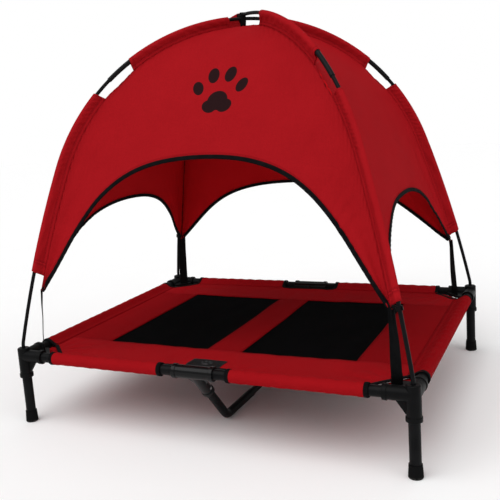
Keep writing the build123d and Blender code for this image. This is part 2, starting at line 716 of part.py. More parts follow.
def sleeve_stretch(bend, start, end, dome):
    """One stretch of pole sleeve: a tube of cloth and the double layer that joins it to the seam."""
    path = bend.wire(start, end)
    tube = swept(path, SLEEVE_OUT_R)
    middle = (SLEEVE_DEPTH + SLEEVE_WALL) / 2
    top = [bend.point(turn, 0) for turn in (start, end)]
    low = [bend.point(turn, SLEEVE_DEPTH + middle) for turn in (start, end)]
    outer = bend.wire(start, end)
    inner = bend.wire(start, end, SLEEVE_DEPTH + middle)
    first = Line((top[0][0], 0, top[0][1]), (low[0][0], 0, low[0][1]))
    last = Line((top[1][0], 0, top[1][1]), (low[1][0], 0, low[1][1]))
    fin = extrude(make_face(outer + [last] + inner + [first]), FIN_T / 2, both=True)
    return tube + fin - swept(path, SLEEVE_IN_R) - dome


def pole_sleeve(corner, dome):
    bend = BEND_OF[corner]
    top = math.asin(SLEEVE_TOP_R[corner] / bend.top_r)
    low = bend.turn_at_height(SLEEVE_END_Z[corner])
    gap_top, gap_low = [math.radians(turn) for turn in OPENING_TURNS[corner]]
    turned_dome = Rot(0, 0, -diagonal_angle(corner)) * dome
    stretches = [(top, gap_top), (gap_low, low)]
    return group([in_corner_plane(sleeve_stretch(bend, *turns, turned_dome), corner) for turns in stretches])


# ---------------------------------------------------------------- canopy poles
def pole_end(corner):
    bend = BEND_OF[corner]
    start = ferrule_turns(corner)[1]
    path = bend.wire(start, bend.last) + foot_edges()
    return in_corner_plane(swept(path, POLE_R, POLE_BORE / 2), corner)


def pole_middle(corner):
    """The middle piece of the pole that ends at this corner and at the opposite one."""
    bend = BEND_OF[corner]
    turns = (-ferrule_turns(OPPOSITE[corner])[1], 0.0, ferrule_turns(corner)[1])
    places = [bend.point(angle) for angle in turns]
    path = [ThreePointArc(*[(r, 0, z) for r, z in places])]
    return in_corner_plane(swept(path, POLE_R, POLE_BORE / 2), corner)


def pole_ferrule(corner):
    bend = BEND_OF[corner]
    high, _, low = ferrule_turns(corner)
    return in_corner_plane(swept(bend.wire(high, low), FERRULE_R, POLE_R), corner)


def pole_tip(corner):
    side_x, side_y = CORNERS[corner]
    x, y = side_x * HALF_X, side_y * HALF_Y
    bottom = POLE_HOLE_FLOOR + TIP_GAP
    tip = upright(TIP_R, bottom, bottom + TIP_LENGTH, x, y)
    tip = fillet(tip.edges().filter_by(GeomType.CIRCLE).sort_by(Axis.Z)[0], 1.2)
    return tip - upright(POLE_R, bottom + TIP_FLOOR, FAR, x, y)


def shock_cord(corner):
    """Elastic cord through one whole pole."""
    bend = BEND_OF[corner]
    half = bend.wire(0, bend.last) + foot_edges()
    right = swept(half, CORD_R)
    return in_corner_plane(right + mirror(right, Plane.YZ), corner)


# ---------------------------------------------------------------- straps and small parts
def strap_line():
    """Top and bottom of a strap, as (distance from centre, height)."""
    tip_r, tip_z = MEAN.point(MEAN.turn_at_height(CORNER_TIP_Z, SLEEVE_DEPTH), SLEEVE_DEPTH)
    top = (tip_r - CLOTH_T, tip_z - 1.0)
    bottom = (HALF_DIAGONAL - STRAP_SLOT_AT, TAB_TOP_Z)
    return top, bottom


def corner_strap(corner):
    (top_r, top_z), (low_r, low_z) = strap_line()
    half_t = STRAP_T / 2
    side = make_face(Polyline(
        (low_r - half_t, low_z), (low_r + half_t, low_z), (top_r + half_t, top_z), (top_r - half_t, top_z),
        close=True,
    ))
    slab = extrude(Plane.XZ * side, STRAP_W, both=True)
    front = make_face(Polyline(
        (-STRAP_W / 2, low_z), (STRAP_W / 2, low_z), (STRAP_W / 2, low_z + STRAP_W),
        (STRAP_TOP_W / 2, top_z), (-STRAP_TOP_W / 2, top_z), (-STRAP_W / 2, low_z + STRAP_W), close=True,
    ))
    shape = extrude(Plane.YZ * front, FAR)
    return in_corner_plane(slab & shape, corner)


def strap_tab(corner):
    at = HALF_DIAGONAL - STRAP_SLOT_AT
    tab = block((at - TAB_T / 2, at + TAB_T / 2), (-STRAP_W / 2, STRAP_W / 2), (TAB_TOP_Z - TAB_H, TAB_TOP_Z))
    tab = fillet(tab.edges().filter_by(Axis.X), 2.0)
    return in_corner_plane(tab, corner)


def pole_hook(corner):
    """Small clip that holds the corner of the cloth to the pole."""
    bend = BEND_OF[corner]
    pole_r, _ = bend.point(bend.turn_at_height(HOOK_Z))
    (top_r, top_z), (low_r, low_z) = strap_line()
    share = (top_z - HOOK_Z + HOOK_H) / (top_z - low_z)
    strap_r = top_r + (low_r - top_r) * share + STRAP_T
    lean = math.degrees(math.pi / 2 - bend.turn_at_height(HOOK_Z))
    ring_r = POLE_R + 0.3
    z = (HOOK_Z - HOOK_H / 2, HOOK_Z + HOOK_H / 2)
    ring = upright(ring_r + HOOK_WALL, *z) - upright(ring_r, z[0] - 1, z[1] + 1)
    ring -= block((0, FAR), (-2.6, 2.6), (0, FAR))
    ring = Pos(pole_r, 0, HOOK_Z) * Rot(0, -lean, 0) * Pos(0, 0, -HOOK_Z) * ring
    tongue = block((strap_r, pole_r - ring_r - HOOK_WALL / 2), (-HOOK_WALL / 2, HOOK_WALL / 2), z)
    return in_corner_plane(ring + tongue, corner)


def crown_tie():
    """Webbing from the crossing of the poles down to the top of the cloth."""
    top = CROWN_Z + CROSS_SHIFT + POLE_R + TIE_T
    bottom = CROWN_Z - SLEEVE_DEPTH
    half = POLE_R + TIE_T
    loop = block((-half, half), (-TIE_W / 2, TIE_W / 2), (bottom, top))
    loop -= block((-POLE_R - 0.1, POLE_R + 0.1), (-FAR, FAR), (bottom + TIE_T, top - TIE_T))
    turn = DIAGONAL_ANGLE + 90
    for corner in ("front_right", "back_right"):
        bend = BEND_OF[corner]
        places = [bend.point(angle) for angle in (-0.2, 0.0, 0.2)]
        path = [ThreePointArc(*[(r, 0, z) for r, z in places])]
        loop -= Rot(0, 0, -turn) * in_corner_plane(swept(path, POLE_R + 0.1), corner)
    return Rot(0, 0, turn) * loop


# ---------------------------------------------------------------- assembly
def build_frame():
    joint = first_corner_joint()
    for corner in CORNERS:
        parts["corner_joint_" + corner] = to_corner(joint, corner)
        parts["leg_tube_" + corner] = leg_tube(corner)
        parts["foot_cap_" + corner] = foot_cap(corner)
    for name, side_x in (("left", -1), ("right", 1)):
        parts["side_rail_" + name] = side_rail(side_x)
        parts["front_rail_" + name] = long_rail(side_x, -1)
        parts["back_rail_" + name] = long_rail(side_x, 1)
        parts["mesh_panel_" + name] = mesh_window(side_x, MESH_T)
    for name, side_y in (("front", -1), ("back", 1)):
        parts["centre_joint_" + name] = centre_joint(side_y)
        parts["brace_tube_" + name] = brace_tube(side_y)
    parts["brace_link"] = brace_link()
    parts["spring_buttons"] = spring_buttons()
    parts["bed_cover"] = bed_cover()
    corner_tapes = [cover_binding(lambda grow, c=corner: corner_cut(c, grow)) for corner in CORNERS]
    centre_tapes = [cover_binding(lambda grow, s=side: centre_cut(s, grow)) for side in (-1, 1)]
    parts["cover_bindings"] = group(corner_tapes + centre_tapes)
    parts["cover_label"] = cover_label()


def build_canopy():
    outside = vault(SLEEVE_DEPTH)
    inside = vault(SLEEVE_DEPTH + CLOTH_T)
    shell = outside - inside
    lining = inside - vault(SLEEVE_DEPTH + CLOTH_T + SEAM_TAPE_T)
    for side in SIDES:
        parts["canopy_panel_" + side] = canopy_panel(side, shell)
        parts["arch_binding_" + side] = arch_binding(side, shell)
    for corner in CORNERS:
        parts["pole_sleeve_" + corner] = pole_sleeve(corner, outside)
        parts["pole_end_" + corner] = pole_end(corner)
        parts["corner_strap_" + corner] = corner_strap(corner)
    parts["seam_tapes"] = group([seam_tape(corner, lining) for corner in CORNERS])
    parts["pole_middle_lower"] = pole_middle("back_right")
    parts["pole_middle_upper"] = pole_middle("front_right")
    parts["pole_ferrules"] = group([pole_ferrule(corner) for corner in CORNERS])
    parts["pole_tips"] = group([pole_tip(corner) for corner in CORNERS])
    parts["shock_cords"] = group([shock_cord(corner) for corner in ("back_right", "front_right")])
    parts["strap_tabs"] = group([strap_tab(corner) for corner in CORNERS])
    parts["pole_hooks"] = group([pole_hook(corner) for corner in HOOK_CORNERS])
    parts["crown_tie"] = crown_tie()


def main():
    build_frame()
    build_canopy()
    os.makedirs("parts", exist_ok=True)
    for name, shape in parts.items():
        export_step(shape, os.path.join("parts", name + ".step"))
        print(name, len(shape.solids()), "solid(s)", round(shape.volume / 1000, 2), "cm3")


main()
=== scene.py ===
import bisect
import math
import bpy
from mathutils import Matrix, Vector, noise


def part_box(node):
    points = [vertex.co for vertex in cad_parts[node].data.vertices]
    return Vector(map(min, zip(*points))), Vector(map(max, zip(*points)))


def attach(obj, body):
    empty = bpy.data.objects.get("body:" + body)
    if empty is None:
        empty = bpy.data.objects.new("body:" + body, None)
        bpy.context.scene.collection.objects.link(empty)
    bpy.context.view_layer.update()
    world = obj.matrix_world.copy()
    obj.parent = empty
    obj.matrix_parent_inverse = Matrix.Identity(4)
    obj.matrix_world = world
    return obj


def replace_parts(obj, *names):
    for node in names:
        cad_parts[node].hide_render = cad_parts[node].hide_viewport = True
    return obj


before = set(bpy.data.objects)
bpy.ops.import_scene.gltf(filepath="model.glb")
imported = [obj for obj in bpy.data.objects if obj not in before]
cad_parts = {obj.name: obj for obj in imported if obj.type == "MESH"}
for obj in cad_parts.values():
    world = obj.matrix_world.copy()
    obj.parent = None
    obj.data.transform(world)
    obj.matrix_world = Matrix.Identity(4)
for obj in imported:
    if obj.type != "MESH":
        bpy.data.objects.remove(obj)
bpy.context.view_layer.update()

# Raised pet cot with a lift-off domed canopy. Metres, +Z up, floor at z = 0, -Y is the front.
# Frame parts keep their CAD shapes and get finishes; all cloth is made here.

# ---------------------------------------------------------------- sizes taken from the frame
CORNERS = {
    "front_left": (-1, -1),
    "front_right": (1, -1),
    "back_left": (-1, 1),
    "back_right": (1, 1),
}
SIDES = {"front": (0, -1), "right": (1, 0), "back": (0, 1), "left": (-1, 0)}


def centre_of(node):
    low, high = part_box(node)
    return (low + high) / 2


def top_of(node):
    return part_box(node)[1].z


leg_centre = centre_of("leg_tube_back_right")
HALF_X, HALF_Y = leg_centre.x, leg_centre.y
HALF_DIAGONAL = math.hypot(HALF_X, HALF_Y)
SIDE_X, SIDE_Y = HALF_X / HALF_DIAGONAL, HALF_Y / HALF_DIAGONAL
RAIL_Z = centre_of("side_rail_left").z
JOINT_TOP_Z = top_of("corner_joint_front_left")
TAB_TOP_Z = top_of("strap_tabs")
POLE_R = 0.004
CROWN_Z = (top_of("pole_middle_lower") + top_of("pole_middle_upper")) / 2 - POLE_R
CROSS_SHIFT = (top_of("pole_middle_upper") - top_of("pole_middle_lower")) / 2

# ---------------------------------------------------------------- sizes of the cloth
POLE_LEAN = math.radians(13.5)
POLE_EASE = math.radians(68.4)
POLE_FOOT_BEND_R = 0.060
POLE_FOOT_STRAIGHT = 0.0015
SEAM_DEPTH = 0.022          # from pole centre line to the corner seam
SLEEVE_R = 0.0066           # pocket's outside, round the pole
SLEEVE_TOP_R = {"front_left": 0.036, "front_right": 0.095, "back_left": 0.020, "back_right": 0.045}
GAP_TURNS = {"front_left": (33.5, 46.4), "front_right": (40.4, 53.0), "back_left": (37.5, 48.7),
             "back_right": (39.3, 50.2)}
SLEEVE_END_Z = {"front_left": 0.351, "front_right": 0.321, "back_left": 0.336, "back_right": 0.330}
GAP_DIP = 0.0045
CORNER_TIP_Z = 0.302
LEG_CLOTH_W = 0.008
FRONT_ARCH_RISE = 0.281
LOW_ARCH_RISE = 0.168
ARCH_LEG = (0.70, 0.58)
ARCH_CROWN_OUT = 0.62
TAPE_W = 0.008
PANEL_T = 0.0011
STRAP_W, STRAP_T = 0.024, 0.0016
STRAP_TOP_W = {"front_left": 0.015, "front_right": 0.015, "back_left": 0.024, "back_right": 0.015}
STRAP_SLOT_AT = 0.046

COVER_R = 0.0130            # middle of the cloth round a rail
POCKET_SEAM = 0.024         # from a rail's centre line to the seam that closes its pocket
COVER_T = 0.0015
NOTCH_REACH = 0.080
NOTCH_SHOULDER = 0.026
CENTRE_NOTCH_HALF = 0.075
CENTRE_NOTCH_DEPTH = 0.027
STRIP_HALF = 0.041
WINDOW_X = HALF_X - 0.143
WINDOW_Y = HALF_Y - 0.144
DECK_SAG = 0.004


# ---------------------------------------------------------------- small helpers
def smooth(low, high, x):
    """0 below low, 1 above high, and an even curve between."""
    x = min(1.0, max(0.0, (x - low) / (high - low)))
    return x * x * (3 - 2 * x)


def mix(a, b, t):
    return a + (b - a) * t


def ripple(x, y, z=0.0):
    """Smooth noise from -1 to 1 that is the same on every run."""
    return noise.noise(Vector((x, y, z)))


def wave(x):
    """A sine that repeats each time x grows by one."""
    return math.sin(2 * math.pi * x)


def running_length(points):
    """How far along a line each of its points is."""
    found = [0.0]
    for first, second in zip(points, points[1:]):
        found.append(found[-1] + math.dist(first, second))
    return found


def beside(points, index):
    """The points before and after one, or itself at an end."""
    return points[max(0, index - 1)], points[min(len(points) - 1, index + 1)]


def raised(flat, z):
    """The same plan point at height z."""
    return Vector((flat.x, flat.y, z))


def add_to_scene(name, data):
    thing = bpy.data.objects.new(name, data)
    bpy.context.scene.collection.objects.link(thing)
    return thing


def make_piece(name, verts, faces, body, materials, uvs=None, faces_material=None):
    """A smooth-shaded mesh piece that rides on a body. uvs holds one (u, v) per vertex for each map."""
    mesh = bpy.data.meshes.new(name)
    mesh.from_pydata([tuple(v) for v in verts], [], faces)
    for map_name, values in (uvs or {}).items():
        layer = mesh.uv_layers.new(name=map_name)
        for loop in mesh.loops:
            layer.data[loop.index].uv = values[loop.vertex_index]
    for material in materials:
        mesh.materials.append(material)
    for index, polygon in enumerate(mesh.polygons):
        polygon.use_smooth = True
        if faces_material:
            polygon.material_index = faces_material[index]
    mesh.update()
    piece = add_to_scene(name, mesh)
    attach(piece, body)
    return piece


def grid_faces(rows, columns, closed=False, flip=False, start=0):
    """Quads over rows of points that each hold the same number of columns."""
    faces = []
    for row in range(rows - 1):
        base = start + row * columns
        for column in range(columns if closed else columns - 1):
            a, b = base + column, base + (column + 1) % columns
            quad = (a, b, b + columns, a + columns)
            faces.append(quad[::-1] if flip else quad)
    return faces


def tube_faces(rows, columns, flip=False, start=0):
    """Quads round a closed section carried along rows of points, and a face over each end."""
    faces = grid_faces(rows, columns, closed=True, flip=flip, start=start)
    first = range(start, start + columns)
    last = range(start + (rows - 1) * columns, start + rows * columns)
    return faces + ([tuple(first), tuple(reversed(last))] if flip else [tuple(reversed(first)), tuple(last)])


def thicken(piece, thickness, offset=-1.0, inside_slot=0):
    modifier = piece.modifiers.new("cloth thickness", "SOLIDIFY")
    modifier.thickness = thickness
    modifier.offset = offset
    modifier.material_offset = inside_slot
    modifier.use_even_offset = False


def band(name, stations, section, body, materials):
    """A strip of even section along stations of (point, across, up); section is (across, up) pairs."""
    verts, run = [], []
    around = running_length(section)
    for (point, across, up), travelled in zip(stations, running_length([station[0] for station in stations])):
        for (a, b), at in zip(section, around):
            verts.append(point + across * a + up * b)
            run.append((travelled, at))
    faces = tube_faces(len(stations), len(section), flip=True)
    return make_piece(name, verts, faces, body, materials, {"run": run})


# ---------------------------------------------------------------- node building
class Value:
    """What comes out of a shader node. Arithmetic on it adds Math nodes."""

    def __init__(self, n, socket):
        self.n, self.socket = n, socket

    def __add__(self, other):
        return self.n.sums("ADD", self, other)

    def __sub__(self, other):
        return self.n.sums("SUBTRACT", self, other)

    def __rsub__(self, other):
        return self.n.sums("SUBTRACT", other, self)

    def __mul__(self, other):
        return self.n.sums("MULTIPLY", self, other)

    def __truediv__(self, other):
        return self.n.sums("DIVIDE", self, other)

    def __rtruediv__(self, other):
        return self.n.sums("DIVIDE", other, self)

    def __abs__(self):
        return self.n.sums("ABSOLUTE", self)

    __radd__, __rmul__ = __add__, __mul__


class Nodes:
    """Adds shader nodes to a tree and links them."""

    def __init__(self, tree):
        self.tree = tree

    def feed(self, socket, value):
        if isinstance(value, Value):
            self.tree.links.new(value.socket, socket)
        else:
            socket.default_value = value

    def add(self, kind, feeds=None, out=0, **settings):
        """A new node's output; feeds go to its inputs by name or number."""
        node = self.tree.nodes.new("ShaderNode" + kind)
        for key, value in settings.items():
            setattr(node, key, value)
        for key, value in (feeds or {}).items():
            self.feed(node.inputs[key], value)
        return Value(self, node.outputs[out])

    def sums(self, operation, *values, clamp=False):
        return self.add("Math", dict(enumerate(values)), operation=operation, use_clamp=clamp)

    def vector(self, operation, *values):
        out = "Value" if operation in ("LENGTH", "DOT_PRODUCT") else "Vector"
        return self.add("VectorMath", dict(enumerate(values)), out, operation=operation)

    def stretched(self, vector, x, y, z=1.0):
        return self.vector("MULTIPLY", vector, (x, y, z))

    def ridges(self, value, rate=math.pi):
        """Rounded ridges side by side."""
        return abs(self.sums("SINE", value * rate))

    def spread(self, value, low, high, to_low=0.0, to_high=1.0):
        """Carries low to to_low and high to to_high along a soft curve."""
        feeds = {"Value": value, "From Min": low, "From Max": high, "To Min": to_low, "To Max": to_high}
        return self.add("MapRange", feeds, interpolation_type="SMOOTHSTEP")

    def colours(self, factor, first, second, blend="MIX"):
        return self.add("Mix", {0: factor, 6: first, 7: second}, 2, data_type="RGBA", blend_type=blend)

    def cloudy(self, vector, scale, detail=2.0, roughness=0.5):
        return self.add("TexNoise", {"Vector": vector, "Scale": scale, "Detail": detail, "Roughness": roughness})

    def axes(self, vector):
        node = self.tree.nodes.new("ShaderNodeSeparateXYZ")
        self.feed(node.inputs[0], vector)
        return [Value(self, socket) for socket in node.outputs]

    def uv(self, name):
        return self.add("UVMap", uv_map=name)

    def here(self):
        """The place on the piece, in metres."""
        return self.add("TexCoord", out="Object")

    def place(self, group, **feeds):
        """Adds a node group and returns its outputs by name."""
        node = self.tree.nodes.new("ShaderNodeGroup")
        node.node_tree = group
        for key, value in feeds.items():
            self.feed(node.inputs[key], value)
        return {socket.name: Value(self, socket) for socket in node.outputs}


def new_group(name, numbers, outputs):
    """A shader node group that takes a Vector and named numbers and gives out named numbers."""
    group = bpy.data.node_groups.new(name, "ShaderNodeTree")
    new_socket = group.interface.new_socket
    new_socket("Vector", in_out="INPUT", socket_type="NodeSocketVector")
    for key, value in numbers.items():
        new_socket(key, in_out="INPUT", socket_type="NodeSocketFloat").default_value = value
    for key in outputs:
        new_socket(key, in_out="OUTPUT", socket_type="NodeSocketFloat")
    n = Nodes(group)
    given = {socket.name: Value(n, socket) for socket in group.nodes.new("NodeGroupInput").outputs}
    return group, n, given, group.nodes.new("NodeGroupOutput").inputs


def plain_weave():
    """Crossing threads, each over one and under one, with a few thicker threads among them."""
    group, n, given, end = new_group("plain weave", {"Thread": 0.0006, "Unevenness": 0.5}, ("Height", "Tone"))
    place = given["Vector"]
    per_metre = 1.0 / given["Thread"]
    x, y, _ = n.axes(place)
    u, v = x * per_metre, y * per_metre
    over = n.sums("PINGPONG", n.sums("FLOOR", u) + n.sums("FLOOR", v), 1.0)
    threads = n.ridges(u) * over + n.ridges(v) * (1.0 - over)
    long_x, long_y = [n.cloudy(n.stretched(place, *scale), 1.0, 1.0) for scale in ((900.0, 22.0), (22.0, 900.0))]
    slub = (long_x + long_y) * 0.5
    both = slub * 0.6 + n.cloudy(place, 14.0, 3.0) * 0.4
    n.feed(end["Height"], threads * 0.7 + slub * 0.3)
    n.feed(end["Tone"], 0.5 + (both - 0.5) * given["Unevenness"])
    return group


def stitch_row():
    """A row of sewn thread along a seam: Vector holds (along, away from the seam)."""
    group, n, given, end = new_group(
        "stitch row", {"Offset": 0.004, "Pitch": 0.0036, "Width": 0.0009}, ("Thread", "Dimple"))
    along, away, _ = n.axes(given["Vector"])
    near = abs(away - given["Offset"]) / given["Width"]
    dash = n.spread(abs(n.sums("FRACT", along / given["Pitch"]) - 0.5), 0.44, 0.34)
    n.feed(end["Thread"], n.spread(near, 0.75, 0.35) * dash)
    n.feed(end["Dimple"], n.spread(near, 3.2, 0.4))
    return group


def ribbed_tape():
    """Fine ribs across a woven tape: Vector holds (along, across)."""
    group, n, given, end = new_group("ribbed tape", {"Rib": 0.0011}, ("Height", "Tone"))
    along, across, _ = n.axes(given["Vector"])
    wobble = n.cloudy(n.stretched(given["Vector"], 420.0, 420.0, 420.0), 1.0, 1.0) * 0.5
    rib = n.ridges(along / given["Rib"] + wobble)
    n.feed(end["Height"], rib * 0.75 + n.ridges(across, math.pi / 0.0008) * 0.25)
    n.feed(end["Tone"], n.cloudy(given["Vector"], 60.0, 3.0))
    return group


def crumple():
    """Shallow creases and soft dents left in cloth by folding it away."""
    group, n, given, end = new_group("crumple", {"Size": 0.06}, ("Height",))
    scale = 1.0 / given["Size"]
    soft = n.cloudy(given["Vector"], scale, 3.0, 0.55)
    sharp = n.cloudy(given["Vector"], scale * 2.4, 1.0)
    n.feed(end["Height"], soft - n.spread(abs(sharp - 0.5), 0.05, 0.0) * 0.12)
    return group


def worn_edges():
    """Where outside edges have been rubbed, from how far a rounded normal leans from the real one."""
    group, n, given, end = new_group("worn edges", {"Radius": 0.0012, "Amount": 0.6}, ("Mask",))
    rounded_normal = n.add("Bevel", {"Radius": given["Radius"]}, samples=4)
    lean = 1.0 - n.vector("DOT_PRODUCT", rounded_normal, n.add("NewGeometry", out="True Normal"))
    broken = n.spread(n.cloudy(given["Vector"], 95.0, 4.0, 0.65), 0.42, 0.66)
    n.feed(end["Mask"], n.sums("MULTIPLY", n.spread(lean, 0.03, 0.28) * broken, given["Amount"], clamp=True))
    return group


def settled_dust():
    """Faint dust on what faces up, gathered in soft patches."""
    group, n, given, end = new_group("settled dust", {"Amount": 0.12}, ("Mask",))
    facing = n.spread(n.axes(n.add("NewGeometry", out="Normal"))[2], 0.15, 0.95)
    patches = n.spread(n.cloudy(given["Vector"], 38.0, 5.0, 0.6), 0.35, 0.75)
    n.feed(end["Mask"], n.sums("MULTIPLY", facing * patches, given["Amount"], clamp=True))
    return group


def moulded_grain():
    """Fine sparked texture of a moulding tool, with slow waves from cooling."""
    group, n, given, end = new_group("moulded grain", {"Grain": 0.0007}, ("Height", "Tone"))
    fine = n.cloudy(given["Vector"], 1.0 / given["Grain"], 2.0, 0.6)
    slow = n.cloudy(given["Vector"], 45.0, 2.0)
    n.feed(end["Height"], fine * 0.8 + slow * 0.2)
    n.feed(end["Tone"], fine * 0.4 + slow * 0.6)
    return group


# A paw: (centre x, centre y, half width, half height, tilt in degrees), in a square one unit wide.
PAW = (
    (0.00, -0.20, 0.155, 0.150, 0), (-0.115, -0.285, 0.115, 0.095, -25), (0.115, -0.285, 0.115, 0.095, 25),
    (-0.335, 0.020, 0.080, 0.118, 24), (-0.130, 0.215, 0.086, 0.130, 8),
    (0.130, 0.215, 0.086, 0.130, -8), (0.335, 0.020, 0.080, 0.118, -24),
)


def paw_print():
    """A plain paw mark: a three-lobed pad and four toes. Vector is centred on it, one unit wide."""
    group, n, given, end = new_group("paw print", {}, ("Mask",))
    smallest = None
    for x, y, half_w, half_h, tilt in PAW:
        feeds = {"Vector": given["Vector"], "Location": (x, y, 0), "Rotation": (0, 0, math.radians(tilt)),
                 "Scale": (half_w, half_h, 1.0)}
        turned = n.add("Mapping", feeds, vector_type="TEXTURE")
        distance = n.vector("LENGTH", n.stretched(turned, 1.0, 1.0, 0.0))
        smallest = distance if smallest is None else n.sums("SMOOTH_MIN", smallest, distance, 0.12)
    n.feed(end["Mask"], n.spread(smallest, 1.02, 0.97))
    return group


WEAVE, STITCH, RIBS, CRUMPLE = plain_weave(), stitch_row(), ribbed_tape(), crumple()
WORN, DUST, GRAIN, PAW_MARK = worn_edges(), settled_dust(), moulded_grain(), paw_print()


class Finish(Nodes):
    """A new material. The constants are set on its Principled shader's own sockets."""

    def __init__(self, name, **constants):
        self.material = bpy.data.materials.new(name)
        self.material.use_nodes = True
        super().__init__(self.material.node_tree)
        self.inputs = self.tree.nodes["Principled BSDF"].inputs
        for key, value in constants.items():
            self.inputs[key.replace("_", " ")].default_value = value

    def done(self, tint, rough, *reliefs):
        """Links the colour, the roughness and each relief (height, distance, strength), coarse ones first."""
        self.feed(self.inputs["Base Color"], tint)
        self.feed(self.inputs["Roughness"], rough)
        normal = None
        for height, distance, strength in reliefs:
            feeds = {"Height": height, "Distance": distance, "Strength": strength}
            if normal:
                feeds["Normal"] = normal
            normal = self.add("Bump", feeds)
        if normal:
            self.feed(self.inputs["Normal"], normal)
        return self.material


def rgb(red, green, blue):
    return (red, green, blue, 1.0)


def grey(level, blue):
    return rgb(level, level, blue)


def shade(colour, factor, extra=0.0):
    """A darker or paler one of a colour."""
    return rgb(*[min(1.0, c * factor + extra) for c in colour[:3]])


BLACK = grey(0.0030, 0.0034)
PLASTIC_BLACK = grey(0.0040, 0.0044)
DUST_GREY = rgb(0.20, 0.19, 0.18)


# ---------------------------------------------------------------- finishes
def cloth_finish(name, colour, rows=(), thread=0.00065, roughness=0.6, creases=0.0016, mark=None, gloss=0.004):
    """Dyed woven cloth, with painted shade in the sunken dimple beside each line of stitching. rows are (map name,
    distance from the seam) for its lines of stitching.
    """
    n = Finish(name, Sheen_Weight=0.0, Specular_IOR_Level=gloss, Coat_Weight=0.0)
    weave = n.place(WEAVE, Vector=n.uv("weave"), Thread=thread, Unevenness=0.9)
    height = n.place(CRUMPLE, Vector=n.here(), Size=0.075)["Height"] * creases
    deep, pale = shade(colour, 0.72), shade(colour, 1.16, 0.002)
    tint = n.colours(weave["Tone"], deep, pale)
    tint = n.colours(weave["Height"] * 0.22, tint, deep, "MULTIPLY")
    if mark:
        map_name, centre, width = mark
        centred = n.vector("SUBTRACT", n.uv(map_name), centre)
        paw = n.place(PAW_MARK, Vector=n.stretched(centred, 1.0 / width, -1.0 / width, 0.0))["Mask"]
        ink = paw * n.spread(weave["Tone"], 0.15, 0.4, 0.86, 0.97)
        tint = n.colours(ink, tint, rgb(0.012, 0.009, 0.010))
    for map_name, offset in rows:
        row = n.place(STITCH, Vector=n.uv(map_name), Offset=offset)
        # Painted shade: the sunken dimple beside each stitch row is darkened to a deep red.
        tint = n.colours(row["Dimple"] * 0.32, tint, rgb(0.05, 0.0, 0.002))
        tint = n.colours(row["Thread"] * 0.8, tint, pale)
        height = height - row["Dimple"] * 0.0004 + row["Thread"] * 0.0004
    rough = roughness - 0.07 + weave["Tone"] * 0.14
    return n.done(tint, rough, (height, 1.0, 1.0), (weave["Height"], 0.00022, 0.8))


def tape_finish(name, colour, rib=0.0011, rows=(), roughness=0.7):
    """Ribbed black tape or webbing, on the map called run, with a painted highlight on the crests of its ribs."""
    n = Finish(name, Specular_IOR_Level=0.03)
    run = n.uv("run")
    ribs = n.place(RIBS, Vector=run, Rib=rib)
    # A paler black, used for uneven tone, for the thread and as a painted highlight on the rib crests.
    pale_tone_and_crest_highlight = shade(colour, 1.8, 0.002)
    tint = n.colours(n.spread(ribs["Tone"], 0.35, 0.8), colour, pale_tone_and_crest_highlight)
    # Painted highlight: the crests of the ribs are mixed toward the paler black.
    tint = n.colours(ribs["Height"] * 0.35, tint, pale_tone_and_crest_highlight)
    height = ribs["Height"] * 0.00025
    for offset in rows:
        row = n.place(STITCH, Vector=run, Offset=offset, Pitch=0.003, Width=0.0007)
        tint = n.colours(row["Thread"] * 0.8, tint, pale_tone_and_crest_highlight)
        height = height + row["Thread"] * 0.0003 - row["Dimple"] * 0.0002
    return n.done(tint, roughness - 0.08 + ribs["Tone"] * 0.16, (height, 1.0, 1.0))


def plastic_finish(name, roughness, grain, wear, coat=0.0, bump=0.00012):
    """Moulded black plastic: fine grain, rubbed edges and a little dust."""
    n = Finish(name, Specular_IOR_Level=0.07, Coat_Weight=coat, Coat_Roughness=0.12)
    place = n.here()
    surface = n.place(GRAIN, Vector=place, Grain=grain)
    rubbed = n.place(WORN, Vector=place, Radius=0.0011, Amount=wear)["Mask"]
    dusty = n.place(DUST, Vector=place, Amount=0.012)["Mask"]
    tint = n.colours(n.spread(surface["Tone"], 0.3, 0.7), shade(PLASTIC_BLACK, 0.6), PLASTIC_BLACK)
    tint = n.colours(rubbed, tint, shade(PLASTIC_BLACK, 3.0, 0.010))
    tint = n.colours(dusty, tint, DUST_GREY)
    rough = roughness - 0.08 + surface["Tone"] * 0.16 + rubbed * 0.12
    rough = n.sums("ADD", rough, dusty * 1.2, clamp=True)
    return n.done(tint, rough, (surface["Height"], bump, 1.0))


def powder_coat():
    """Black powder coat on steel tube: a slight orange peel, rubbed a little at its ends."""
    n = Finish("black powder coat", Specular_IOR_Level=0.07)
    place = n.here()
    slow = n.cloudy(place, 30.0, 3.0)
    dusty = n.place(DUST, Vector=place, Amount=0.012)["Mask"]
    rubbed = n.place(WORN, Vector=place, Radius=0.0008, Amount=0.45)["Mask"]
    tint = n.colours(n.spread(slow, 0.35, 0.65), BLACK, grey(0.0055, 0.006))
    tint = n.colours(rubbed, tint, grey(0.06, 0.062))
    tint = n.colours(dusty, tint, DUST_GREY)
    return n.done(tint, 0.30 + slow * 0.18, (n.cloudy(place, 420.0, 2.0, 0.45), 0.00016, 1.0))


def rubber_finish():
    """Matt rubber, scuffed where it meets the floor."""
    n = Finish("foot rubber", Specular_IOR_Level=0.04)
    place = n.here()
    surface = n.place(GRAIN, Vector=place, Grain=0.0011)
    low = n.spread(n.axes(place)[2], 0.006, 0.0)
    scuff = low * n.spread(n.cloudy(place, 260.0, 5.0, 0.7), 0.4, 0.62)
    tint = n.colours(surface["Tone"], grey(0.0035, 0.0037), grey(0.007, 0.0072))
    tint = n.colours(scuff * 0.55, tint, rgb(0.10, 0.095, 0.09))
    return n.done(tint, 0.62 + surface["Tone"] * 0.25, (surface["Height"], 0.0002, 1.0))


